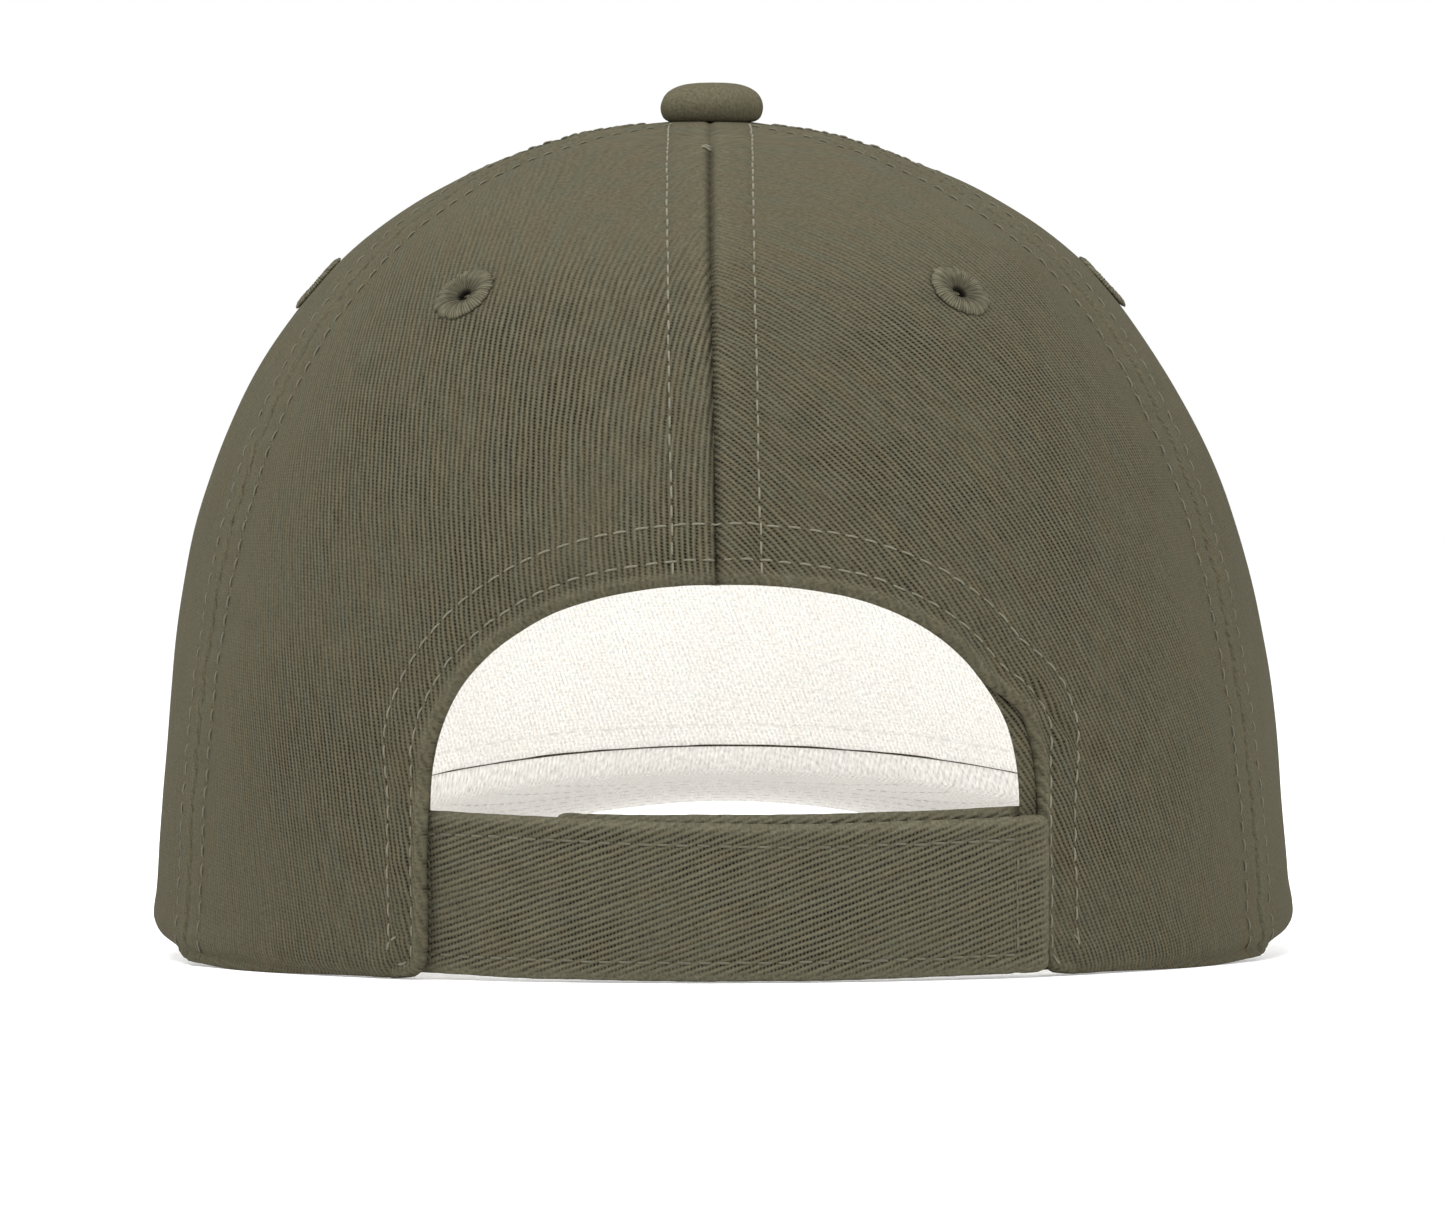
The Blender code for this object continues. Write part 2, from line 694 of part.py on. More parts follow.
def crown(group, cutters, parent):
    opening = opening_cutter(cutters, parent)
    for name, index in PANELS.items():
        first = index * SIXTH if index < 3 else (index - 6) * SIXTH
        cloth = panel("panel_" + name, first, group, parent)
        frame = eyelet_frame("eyelet_frame_" + name, first + SIXTH / 2, group, parent)
        eyelet("eyelet_" + name, group, frame)
        cut(cloth, eyelet_cutter("eyelet_cutter_" + name, EYELET_CUT, cutters, frame))
        if name.startswith("rear"):
            cut(cloth, opening)
        if name.startswith("front"):
            backing = buckram("buckram_" + name.removeprefix("front_"), first, group, parent)
            cut(backing, eyelet_cutter("buckram_cutter_" + name, BUCKRAM_CUT, cutters, frame))
    for name, index in SIDE_SEAMS.items():
        over_visor = name.startswith("front")
        start = VISOR_FLANGE_HEIGHT + 2 * LINING_RISE if over_visor else LINING_RISE
        seam_tape("seam_tape_" + name, wrapped(index * SIXTH), start, group, parent)
    cut(centre_tape(group, parent), post_cutter(cutters, parent))
    sweatband(group, parent)
    opening_facing(group, parent)


def solid_points(group):
    """Every corner of the finished solids, in world space."""
    bpy.context.view_layer.update()
    graph = bpy.context.evaluated_depsgraph_get()
    for item in group.objects:
        if item.type != "MESH":
            continue
        shape = item.evaluated_get(graph)
        for vert in shape.data.vertices:
            yield shape.matrix_world @ vert.co


def stand_on_table(frame, group):
    """Tilt the cap until its back and its visor touch one plane, then put that plane at z = 0."""
    points = list(solid_points(group))
    back = [point for point in points if point.y > 0 and point.z < STRAP_HIGH]
    front = [point for point in points if point.y < 0 and point.z < STRAP_HIGH]

    def lowest(some, angle):
        return min(point.z * math.cos(angle) - point.y * math.sin(angle) for point in some)
    angle = bisect(0, math.radians(10), lambda a: lowest(front, a) < lowest(back, a))
    frame.rotation_euler.x = -angle
    points = list(solid_points(group))
    middle = [(min(p[axis] for p in points) + max(p[axis] for p in points)) / 2 for axis in (0, 1)]
    frame.location = (-middle[0], -middle[1], -min(point.z for point in points))


def main():
    clear_scene()
    group = collection("baseball_cap")
    cutters = collection("cutters")
    frame = add_object("cap_frame", None, group, None)
    crown(group, cutters, frame)
    button(group, frame)
    visor_top_cover(group, frame)
    visor_board(group, frame)
    visor_under_cover(group, frame)
    straps(group, frame)
    care_label(group, frame)
    stand_on_table(frame, group)


main()
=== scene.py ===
"""The looks of the baseball cap: twill panels, sewn seams, straps, visor and lining, in metres.

Places on the crown are given by phase, climb and depth, as in the CAD model. Phase runs round the
crown from the back centre towards the wearer's left (+X), with a seam at every 60 degrees. Climb is 0
on the rim's plane and 90 degrees at the top. Depth is measured inwards from the cloth's outer face.
Most pieces are grids of such places, and most functions take arrays of any shape.
"""
import json
import math
from collections import namedtuple

import bpy
import numpy as np
from mathutils import Matrix, Vector, noise
from mathutils.kdtree import KDTree


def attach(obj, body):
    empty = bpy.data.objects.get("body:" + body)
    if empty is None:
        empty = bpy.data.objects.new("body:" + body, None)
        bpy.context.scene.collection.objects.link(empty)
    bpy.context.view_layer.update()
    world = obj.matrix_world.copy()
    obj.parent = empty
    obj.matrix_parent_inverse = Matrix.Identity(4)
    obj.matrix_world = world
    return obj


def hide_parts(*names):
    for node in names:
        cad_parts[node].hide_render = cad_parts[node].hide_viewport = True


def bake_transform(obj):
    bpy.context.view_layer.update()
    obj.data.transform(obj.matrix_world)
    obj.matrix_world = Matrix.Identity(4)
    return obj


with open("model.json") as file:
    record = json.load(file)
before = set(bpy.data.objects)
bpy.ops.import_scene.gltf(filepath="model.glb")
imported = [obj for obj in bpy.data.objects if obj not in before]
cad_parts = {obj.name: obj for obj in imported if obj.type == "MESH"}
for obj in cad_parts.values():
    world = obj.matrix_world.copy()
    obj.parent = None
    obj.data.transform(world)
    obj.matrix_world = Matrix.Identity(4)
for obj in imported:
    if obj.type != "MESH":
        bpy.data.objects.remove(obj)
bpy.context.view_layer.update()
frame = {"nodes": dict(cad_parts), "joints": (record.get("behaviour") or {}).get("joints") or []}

MM = 0.001
TAU = 2 * math.pi
SIXTH = math.radians(60)
HALF_TURN = math.pi
TOP = math.pi / 2

# The crown's driving sizes, as in the CAD model
CROWN_HALF_WIDTH = 86.6 * MM
CROWN_HALF_LENGTH = 103 * MM
CROWN_HEIGHT = 124.8 * MM
CONE_SHARE = 8 * MM
BACK_ROUNDNESS, FRONT_ROUNDNESS = 2.6, 2.9
SEAM_SKEW = math.radians(9)
SEAM_VALLEY, VALLEY_SHARPNESS, VALLEY_HEIGHT = 0.011, 3, 50 * MM
RIM_FLARE, FLARE_HEIGHT = 1.6 * MM, 10 * MM
RIM_DROOP, RIM_DROOP_START = 1.2 * MM, math.radians(26)      # cloth only, beside the tails
LEAN = 1.6 * MM                # how far the top of the cloth leans to the left
FRONT_RISE, FRONT_RISE_START = 21 * MM, math.radians(75)
APEX_HOLE_RADIUS = 2.4 * MM

OPENING_HALF_WIDTH = 43.5 * MM
OPENING_SIDE_HEIGHT = 24 * MM
OPENING_HEIGHT = 58 * MM
ARCH_ROUNDNESS = 2.4
FACING_DEPTH, FACING_WIDTH = 1.5 * MM, 11 * MM

BUCKRAM_DEPTH, TAPE_DEPTH, TAPE_WIDTH, TAPE_BOW_RADIUS = 1.3 * MM, 2.2 * MM, 15 * MM, 60 * MM
SWEATBAND_DEPTH, SWEATBAND_HEIGHT = 3.6 * MM, 33 * MM
LABEL_DEPTH, LABEL_WIDTH, LABEL_LENGTH = 5.6 * MM, 20 * MM, 24 * MM
LABEL_PHASE = math.radians(84)
LINING_RISE = 1 * MM

STRAP_LOW, STRAP_HIGH = 1.0 * MM, 24.0 * MM
STRAP_UPPER_FOLD_X, STRAP_UPPER_TIP_X = 40 * MM, -46.5 * MM
STRAP_UPPER_FOLD_DEPTH, STRAP_UPPER_TIP_DEPTH = 1.4 * MM, -1.6 * MM
STRAP_LOWER_FOLD_X, STRAP_LOWER_TIP_X = -40 * MM, 26 * MM
STRAP_LOWER_RAISE = 0.8 * MM
STRAP_ROOT_LENGTH = 15 * MM
STRAP, FASTENER, FASTENER_GAP, FASTENER_MARGIN = 1.0 * MM, 0.8 * MM, 0.3 * MM, 3 * MM
HOOK_SPAN = (-43.5 * MM, 6 * MM)
LOOP_SPAN = (-36 * MM, 24 * MM)

VISOR_SPREAD = math.radians(66)
VISOR_HALF_WIDTH, VISOR_CORNER_Y, VISOR_FRONT_Y = 85 * MM, -36 * MM, -173 * MM
VISOR_ROUNDNESS, VISOR_BOW_RADIUS, VISOR_SLOPE = 2.3, 120 * MM, 0.15
VISOR_THICKNESS, VISOR_GAP = 4.6 * MM, 0.6 * MM

EYELET_CLIMB = math.radians(51.5)
EYELET_HOLE, EYELET_RADIUS = 1.9 * MM, 4.9 * MM
BUTTON_RADIUS, BUTTON_CLOTH = 7.5 * MM, 0.5 * MM

# Sewing
STITCH_PITCH, THREAD_RADIUS = 2.9 * MM, 0.17 * MM
SEAM_STITCH = 5.8 * MM           # from the seam to the row on each side of it
HEM_STITCHES = (3.4 * MM, 8.7 * MM)
TAIL_STITCHES = (2.0 * MM, 6.0 * MM)

# Colours of the cloth, as linear light
OLIVE = (0.0718, 0.0663, 0.0437)
# The straps' olive is the panels' olive made lighter: a painted highlight on the straps' ribs
HIGHLIT_STRAP_OLIVE = (0.0805, 0.0757, 0.0507)
BUTTON_OLIVE = (0.0835, 0.0765, 0.0492)
OLIVE_THREAD = (0.150, 0.141, 0.100)
DULL_THREAD_OLIVE = (0.105, 0.098, 0.068)
EYELET_OLIVE = (0.096, 0.089, 0.060)
NATURAL = (0.80, 0.79, 0.76)
WHITE = (0.82, 0.82, 0.80)
FASTENER_OLIVE = (0.03, 0.028, 0.02)
STEEL = (0.55, 0.55, 0.56)
GREENER, BROWNER = (0.95, 1.02, 1.07), (1.07, 0.97, 0.90)
DULL_SPECULAR, METAL_SPECULAR = 0.03, 0.5

# Fine patterns of the cloth, in millimetres
DOT_PITCH, STRAND_PITCH, FLOAT_PITCH = 0.55, 0.34, 0.28

# The cloth and its edges
CLOTH, STRAP_CLOTH, VISOR_CLOTH = 0.8 * MM, 0.85 * MM, 0.65 * MM
EDGE_BULGE = 0.4                 # of the cloth's thickness, at its rounded edge
TAIL_SHIFT, TAIL_SHIFT_HEIGHT = 3 * MM, 44 * MM      # the right tail is folded back this far
TAIL_CORNER = 4 * MM
SEAM_GROOVE, SEAM_RAISE, SEAM_NEEDLE = 0.85 * MM, 0.34 * MM, 0.24 * MM
HEM_ROLL, HEM_RAISE, HEM_NEEDLE = 0.75 * MM, 0.42 * MM, 0.22 * MM
STRAP_ROLL, STRAP_NEEDLE, VISOR_NEEDLE = 0.42 * MM, 0.22 * MM, 0.22 * MM
BROAD_LUMPS, SMALL_LUMPS = (36 * MM, 0.9 * MM), (13 * MM, 0.22 * MM)     # their size and height
RIGHT_TAIL_CLOSER = 0.9 * MM     # the right tail's first row lies this much closer to its edge
BARTACK_RADIUS = 33 * MM         # from the crown's middle line, on the back seam
ROW_STOP_RADIUS = 9.5 * MM       # the stitch rows meet beside the button
NEXT_SEAM = 10 * CROWN_HEIGHT    # keeps the places along two seams apart

# The panels, each by the number of the seam on its right
PANELS = {"rear_left": 0, "side_left": 1, "front_left": 2,
          "front_right": -3, "side_right": -2, "rear_right": -1}
EYELET_PUNCH = 2.95 * MM
BESIDE_EDGE = np.concatenate([[0, 0.2, 0.45, 0.75], np.arange(1.15, 10.3, 0.5)]) * MM
RIB_TURN = math.radians(20)
RIB_TURNS = {"rear_left": math.radians(14), "rear_right": math.radians(26)}
CLOTH_PULL = 0.35                # how much more than flat cloth a panel narrows towards the top
PANEL_BOW = 1.05                 # a panel's width over the straight line between its seams

EYELET_OUTLINE = np.array([
    (0.85, -0.90), (0.95, -0.45), (1.40, -0.10), (2.20, 0.26), (3.30, 0.55), (4.20, 0.46),
    (4.75, 0.16), (4.90, -0.12), (4.50, -0.30), (2.90, -0.35), (2.85, -1.10), (4.50, -1.15),
    (4.80, -1.35), (4.40, -1.65), (3.40, -1.80), (2.50, -1.70), (1.95, -1.35)]) * MM
EYELET_STITCHES = 44
BUTTON_OUTLINE = np.array([(0.0, 4.85), (2.5, 4.77), (4.3, 4.52), (5.7, 4.02), (6.6, 3.40), (7.15, 2.6),
                           (7.4, 1.6), (7.3, 0.8), (7.0, 0.15), (6.2, -0.25), (5.2, -0.1),
                           (4.2, 0.1)]) * MM

STRAP_TOP_LEFT, STRAP_TOP = 24.5 * MM, 23.4 * MM     # its top edge falls towards the tip
STRAP_ROWS = (3.2 * MM, 2.6 * MM)                    # below its top edge, above its bottom edge
TIP_ROW, TIP_CORNER = 4.5 * MM, 1.6 * MM
STRAP_RIB_TURN = math.radians(110)
HOOK_PITCH = 1.5 * MM
LABEL_SEWN_ROW = 3
VISOR_ROWS = [(5 + 6.5 * row) * MM for row in range(8)]      # from the visor's edge
VISOR_FLANGE_HEIGHT, TUCK_ROWS = 8 * MM, 8
CORNER_SHARE, CORNER_THINNESS = 0.035, 0.15      # where the visor closes at a corner, and how far

# Camera and light
TARGET = Vector((0, 0, 48.8 * MM))
CAMERA_DISTANCE, CAMERA_RISE, CAMERA_ROLL = 1.5, 0.0558, math.radians(-0.25)
LENS, SENSOR = 242.0, 36.0
WORLD_STRENGTH, OVERHEAD_WATTS = 1.0, 26.0
RIGHT_WATTS, LEFT_WATTS = 8.0, 3.0
INSIDE_WATTS, FLOOR_GLOW = 0.12, 0.25


def joint(name):
    return next(item for item in frame["joints"] if item["name"] == name)


# ---- the crown's surface, for arrays of phases and climbs ----

def smoothstep(x):
    x = np.clip(x, 0.0, 1.0)
    return x * x * (3 - 2 * x)


def blend(a, b, share):
    return a + (b - a) * share


def bell(x, width):
    return np.exp(-(x / width) ** 2)


def turn_of(phase):
    return phase + SEAM_SKEW * np.sin(2 * phase)


def rim_height(phase):
    rise = (np.abs(phase) - FRONT_RISE_START) / (HALF_TURN - FRONT_RISE_START)
    return FRONT_RISE * smoothstep(rise)


def profile(phase, climb):
    front = smoothstep((np.abs(phase) - TOP) / TOP)
    power = 2 / blend(BACK_ROUNDNESS, FRONT_ROUNDNESS, front)
    reach = np.maximum(np.cos(climb), 0.0) ** power
    height = (CROWN_HEIGHT - CONE_SHARE) * np.sin(climb) ** power + CONE_SHARE * (1 - reach)
    return reach, height


def outer_point(phase, climb, seams=True):
    phase, climb = np.broadcast_arrays(np.asarray(phase, float), np.asarray(climb, float))
    reach, height = profile(phase, climb)
    lift = np.maximum(height - rim_height(phase), 0)
    valley = (0.5 + 0.5 * np.cos(6 * phase)) ** VALLEY_SHARPNESS if seams else 0.0
    dip = SEAM_VALLEY * valley * smoothstep(lift / VALLEY_HEIGHT)
    beside = smoothstep((np.abs(phase) - SIXTH / 2) / SIXTH)
    flare = RIM_FLARE * np.exp(-lift / FLARE_HEIGHT) * beside
    beside_tails = smoothstep((np.abs(phase) - RIM_DROOP_START) / math.radians(25))
    beside_visor = smoothstep((math.radians(110) - np.abs(phase)) / math.radians(20))
    height = height - RIM_DROOP * beside_tails * beside_visor * np.exp(-(lift / FLARE_HEIGHT) ** 2)
    turn = turn_of(phase)
    across = (CROWN_HALF_WIDTH * (1 - dip) + flare) * reach
    along = (CROWN_HALF_LENGTH * (1 - dip) + flare) * reach
    lean = LEAN * smoothstep(lift / CROWN_HEIGHT)
    return np.stack([across * np.sin(turn) + lean, along * np.cos(turn), height], -1)


def unit(vectors):
    return vectors / np.maximum(np.linalg.norm(vectors, axis=-1, keepdims=True), 1e-12)


def outward(phase, climb, seams=True):
    step = 1e-3
    low = np.maximum(climb - step, 0.0)
    rise = outer_point(phase, climb + step, seams) - outer_point(phase, low, seams)
    round_ = outer_point(phase + step, climb, seams) - outer_point(phase - step, climb, seams)
    return unit(np.cross(rise, round_))


def crown_point(phase, climb, depth, seams=True):
    depth = np.asarray(depth, float)[..., None]
    return outer_point(phase, climb, seams) - depth * outward(phase, climb, seams)


def bisect(low, high, too_low, shape):
    low = np.full(shape, float(low))
    high = np.full(shape, float(high))
    for _ in range(32):
        middle = (low + high) / 2
        below = too_low(middle)
        low = np.where(below, middle, low)
        high = np.where(below, high, middle)
    return (low + high) / 2


def climb_at(phase, height):
    phase, height = np.broadcast_arrays(np.asarray(phase, float), np.asarray(height, float))
    return bisect(0, TOP, lambda climb: profile(phase, climb)[1] < height, phase.shape)


def ring_radius(phase, climb):
    """Distance from the crown's middle line, which leans."""
    point = outer_point(phase, climb)
    lean = LEAN * smoothstep((point[..., 2] - rim_height(phase)) / CROWN_HEIGHT)
    return np.hypot(point[..., 0] - lean, point[..., 1])


def climb_near_axis(phase, radius):
    def too_low(climb):
        return ring_radius(phase, climb) > radius
    return bisect(0, TOP, too_low, np.shape(phase))


def back_place(x, height):
    """Phase and climb of the place at x and height on the back of the crown."""
    x, height = np.broadcast_arrays(np.asarray(x, float), np.asarray(height, float))
    climb = climb_at(np.zeros(x.shape), height)
    phase = bisect(-TOP, TOP, lambda p: outer_point(p, climb, False)[..., 0] < x, x.shape)
    return phase, climb


# ---- from the cap's own frame to the model's ----

def cap_matrix():
    """The cap is tilted about X until it stands on its rim and visor; the strap's hinge tells how."""
    hinge = joint("strap_upper_peel")
    down = Vector(hinge["axis"]).normalized()
    tilt = math.atan2(down.y, -down.z)
    turn = Matrix.Rotation(tilt, 4, "X")
    phase, climb = back_place(STRAP_UPPER_FOLD_X, (STRAP_LOW + STRAP_HIGH) / 2)
    local = Vector(crown_point(phase, climb, STRAP_UPPER_FOLD_DEPTH, False))
    return Matrix.Translation(Vector(hinge["pos_m"]) - turn @ local) @ turn


CAP = cap_matrix()
CAP_ARRAY = np.array(CAP)


def to_model(points):
    return points @ CAP_ARRAY[:3, :3].T + CAP_ARRAY[:3, 3]


# ---- materials ----

class Value:
    """What a node gives; materials are written as sums of such values and of plain numbers."""

    def __init__(self, nodes, socket):
        self.nodes, self.socket = nodes, socket

    def __add__(self, other):
        return self.nodes.math("ADD", self, other)

    def __sub__(self, other):
        return self.nodes.math("SUBTRACT", self, other)

    def __rsub__(self, other):
        return self.nodes.math("SUBTRACT", other, self)

    def __mul__(self, other):
        return self.nodes.math("MULTIPLY", self, other)

    __radd__, __rmul__ = __add__, __mul__


class Nodes:
    """The nodes of one material."""

    def __init__(self, name, roughness, sheen=0.0, metallic=0.0):
        self.material = bpy.data.materials.new(name)
        self.material.use_nodes = True
        self.tree = self.material.node_tree
        self.shader = self.tree.nodes["Principled BSDF"]
        specular = METAL_SPECULAR if metallic else DULL_SPECULAR
        for key, value in (("Roughness", roughness), ("Metallic", metallic), ("Sheen Weight", sheen),
                           ("Sheen Roughness", 0.5), ("Specular IOR Level", specular)):
            self.put(self.shader.inputs[key], value)

    def put(self, socket, value):
        if isinstance(value, Value):
            self.tree.links.new(value.socket, socket)
        else:
            socket.default_value = value

    def node(self, kind, inputs, output=0, **settings):
        """One output of a new node, whose inputs are given by number or name."""
        node = self.tree.nodes.new("ShaderNode" + kind)
        for key, value in settings.items():
            setattr(node, key, value)
        for key, value in inputs.items():
            self.put(node.inputs[key], value)
        return Value(self, node.outputs[output])

    def math(self, operation, *values):
        return self.node("Math", dict(enumerate(values)), operation=operation)

    def scale(self, vector, factor):
        return self.node("VectorMath", {0: vector, "Scale": factor}, operation="SCALE")

    def noise(self, place, detail=2.0, roughness=0.5):
        """Noise about zero, between roughly -0.5 and 0.5."""
        inputs = {"Vector": place, "Scale": 1.0, "Detail": detail, "Roughness": roughness}
        return self.node("TexNoise", inputs, "Fac") - 0.5

    def wave(self, turns):
        """A sine between -0.5 and 0.5 that repeats at every whole number of turns."""
        return self.math("SINE", turns * TAU) * 0.5

    def mix(self, first, second, share):
        return self.node("Mix", {"Factor": share, "A": first, "B": second}, "Result", data_type="RGBA")

    def mark(self, name):
        """A share from 0 to 1 that the piece's points carry."""
        return self.node("Attribute", {}, "Fac", attribute_name=name)

    def cloth(self):
        """Places on the flat cloth in millimetres: across the ribs, and along them."""
        place = self.scale(self.node("UVMap", {}, uv_map="cloth"), 1000.0)
        self.across, self.along = (self.node("SeparateXYZ", {0: place}, axis) for axis in (0, 1))
        return self.across, self.along

    def slubs(self, per_across, per_along, shift=0.0, detail=2.0, roughness=0.5):
        """Noise on the flat cloth with its own fineness across and along the ribs."""
        place = {0: self.across * per_across, 1: self.along * per_along, 2: shift}
        return self.noise(self.node("CombineXYZ", place), detail, roughness)

    def grain(self, per_metre, detail=2.0, roughness=0.5):
        """Noise in space."""
        place = self.node("TexCoord", {}, "Object")
        return self.noise(self.scale(place, per_metre), detail, roughness)

    def finish(self, colour, tone, height=None):
        """Give the shader its colour in this tone, and bumps whose height is in millimetres."""
        self.put(self.shader.inputs["Base Color"], self.scale(colour, tone))
        if height is not None:
            bump = self.node("Bump", {"Distance": MM, "Strength": 1.0, "Height": height})
            self.put(self.shader.inputs["Normal"], bump)
        return self.material


def tinted(colour, shares):
    return [part * share for part, share in zip(colour, shares)]


def rust_and_green(nodes, colour, uneven):
    """The dye's colour, browner in some slubs and greener in others."""
    rust = nodes.slubs(0.55, 0.09, 6.0) * (1.6 * uneven) + 0.5
    rust = nodes.math("MINIMUM", nodes.math("MAXIMUM", rust, 0.0), 1.0)
    return nodes.mix((*tinted(colour, GREENER), 1), (*tinted(colour, BROWNER), 1), rust)


def twill(name, colour, pitch=0.8, contrast=1.35, uneven=1.0, deep=0.16):
    """Brushed twill: broad ribs with dotted valleys between, slubs, fuzz, faded and napped patches."""
    nodes = Nodes(name, roughness=0.9)
    across, along = nodes.cloth()
    sway, waver = nodes.slubs(0.22, 0.07, 1.0), nodes.slubs(1.1, 0.40, 2.0)
    turns = (across + sway * (0.9 * pitch) + waver * (0.22 * pitch)) * (1 / pitch)
    rib = nodes.wave(turns)
    valley = nodes.math("MAXIMUM", (rib - 0.05) * -2.0, 0.0)
    dots = nodes.wave(along * (1 / DOT_PITCH) + turns * 0.5)
    slub = nodes.slubs(1.3, 0.20, 3.0, 3.0)
    fuzz = nodes.slubs(2.4, 1.7, 4.0, 3.0, 0.7)
    faded = nodes.slubs(0.07, 0.045, 5.0)
    crisp = 1.0 - nodes.mark("nap")
    strength = nodes.math("MAXIMUM", 0.9 + faded * 1.3, 0.4) * crisp * contrast
    tone = 1.05 + rib * strength * 0.34 + dots * strength * 0.09
    tone = tone + valley * strength * (dots * 0.42 - 0.28)
    tone = tone + slub * (0.75 * uneven) * (0.35 + crisp * 0.65) + fuzz * 1.3 + faded * 0.18
    # Painted shade: the shade mark darkens the cloth in the crown's seam creases
    tone = tone * (1.0 - nodes.mark("shade") * 0.5)
    base = nodes.scale(rust_and_green(nodes, colour, uneven), tone)
    pale = nodes.scale(tinted(colour, (1.3, 1.3, 1.3)), 1.0 + slub * 0.9 + fuzz * 2.4)
    height = rib * strength * deep + valley * dots * strength * 0.06
    height = height + slub * (0.09 * uneven) + fuzz * 0.05
    return nodes.finish(nodes.mix(base, pale, nodes.mark("wear") * 0.5), 1.0, height)


def satin_stitch(name, colour):
    """Thread laid side by side round an eyelet, with the cloth coordinate running round the ring."""
    nodes = Nodes(name, roughness=0.8)
    round_, _ = nodes.cloth()
    waver = nodes.slubs(1.2, 0.8)
    strand = nodes.wave((round_ + waver * 0.16) * (1 / STRAND_PITCH))
    # The shade mark paints shade into the eyelet's hole and inner slope
    tone = (1.0 + strand * 0.6 + waver * 1.1) * (1.0 - nodes.mark("shade") * 0.8)
    return nodes.finish(colour, tone, strand * 0.09)


def woven(name, colour, pitch, open_share=0.3, roughness=0.85, deep=0.12):
    """A plain weave or net: threads both ways with darker gaps between."""
    nodes = Nodes(name, roughness=roughness, sheen=0.08)
    ways = nodes.cloth()
    waver = nodes.slubs(0.5, 0.5)
    warp, weft = (nodes.wave(way * (1 / pitch) + waver * 0.35) for way in ways)
    cover = nodes.math("MAXIMUM", warp, weft)
    tone = (1.0 - open_share / 2) + cover * open_share + nodes.slubs(4.0, 4.0, 2.0) * 0.25
    return nodes.finish(colour, tone + waver * 0.12, cover * deep)


def satin(name, colour):
    """Label ribbon: close glossy floats across it."""
    nodes = Nodes(name, roughness=0.42, sheen=0.05)
    _, along = nodes.cloth()
    rows = nodes.wave(along * (1 / FLOAT_PITCH))
    return nodes.finish(colour, 0.97 + rows * 0.06 + nodes.slubs(0.6, 6.0) * 0.12, rows * 0.02)


def grained(name, colour, grain, share, bump, patches=None, patch_share=0.0, **surface):
    """A material with a fine grain in its tone and its bumps, and perhaps broader patches of tone."""
    nodes = Nodes(name, **surface)
    fine = nodes.grain(*grain)
    tone = 1.0 + fine * share
    if patches:
        tone = tone + nodes.grain(*patches) * patch_share
    return nodes.finish(colour, tone, fine * bump)


def thread(name, colour):
    """Sewing thread: a fine twist and a little change of tone from stitch to stitch."""
    return grained(name, colour, (4500.0, 1.0), 0.5, 0.05, (260.0, 1.0), 0.45, roughness=0.6, sheen=0.15)


def plastic(name, colour):
    """Pressed board or nylon with a faint grain."""
    return grained(name, colour, (1400.0, 3.0), 0.1, 0.03, roughness=0.5)


TWILL = twill("olive_brushed_twill", OLIVE)
# The strap's twill takes the lighter olive, which paints highlights on its ribs
STRAP_TWILL = twill("olive_strap_twill", HIGHLIT_STRAP_OLIVE, pitch=0.87, uneven=0.8)
VISOR_TWILL = twill("olive_visor_twill", OLIVE, contrast=1.0, uneven=0.8)
FINE_TWILL = twill("olive_fine_twill", BUTTON_OLIVE, pitch=0.55, contrast=0.18, uneven=0.4, deep=0.03)
THREAD = thread("olive_thread", OLIVE_THREAD)
DULL_THREAD = thread("olive_dull_thread", DULL_THREAD_OLIVE)
NATURAL_THREAD = thread("natural_thread", NATURAL)
EYELET_THREAD = satin_stitch("eyelet_thread", EYELET_OLIVE)
BAND_TWILL = twill("natural_band_twill", NATURAL, pitch=0.7, contrast=0.25, uneven=0.2, deep=0.1)
TAPE = woven("natural_tape_weave", NATURAL, pitch=0.55, open_share=0.18)
NET = woven("buckram_net", WHITE, pitch=1.1, open_share=0.5, deep=0.2)
HOOKS = woven("nylon_hook_weave", FASTENER_OLIVE, pitch=0.5, open_share=0.6, roughness=0.45)
LOOPS = grained("nylon_loop_pile", FASTENER_OLIVE, (2600.0, 3.0, 0.7), 1.3, 0.35, (420.0,), 0.5,
                roughness=0.7, sheen=0.3)
LABEL = satin("label_satin", WHITE)
METAL = grained("pressed_steel", STEEL, (1800.0, 4.0, 0.7), 0.3, 0.02, roughness=0.36, metallic=1.0)
BOARD = plastic("board_plastic", WHITE)
NYLON = plastic("nylon_hooks", FASTENER_OLIVE)


# ---- closed pieces of cloth ----

def run_along(points):
    """Distance along a line of points, or down each column of a grid, from its first point."""
    steps = np.linalg.norm(np.diff(points, axis=0), axis=-1)
    return np.concatenate([np.zeros_like(steps[:1]), np.cumsum(steps, 0)])


def grid_faces(rows, columns, wrap=False, wrap_rows=False):
    """Quads of a grid of points stored row by row, joined end to end where they wrap."""
    index = np.arange(rows * columns).reshape(rows, columns)
    if wrap:
        index = np.concatenate([index, index[:, :1]], axis=1)
    if wrap_rows:
        index = np.concatenate([index, index[:1]])
    corners = [index[:-1, :-1], index[:-1, 1:], index[1:, 1:], index[1:, :-1]]
    return np.stack(corners, -1).reshape(-1, 4)


def new_object(name, data):
    item = bpy.data.objects.new(name, data)
    bpy.context.scene.collection.objects.link(item)
    return item


def make_object(name, points, faces, material, uv=None, **marks):
    """A mesh piece; marks are named shares from 0 to 1 at its points that its material reads."""
    mesh = bpy.data.meshes.new(name)
    mesh.from_pydata(to_model(points).tolist(), [], faces.tolist())
    mesh.polygons.foreach_set("use_smooth", np.ones(len(faces), bool))
    if uv is not None:
        layer = mesh.uv_layers.new(name="cloth")
        layer.data.foreach_set("uv", uv[faces.ravel()].ravel())
    for mark, values in marks.items():
        mesh.attributes.new(mark, "FLOAT", "POINT").data.foreach_set("value", values)
    mesh.materials.append(material)
    mesh.update()
    return new_object(name, mesh)


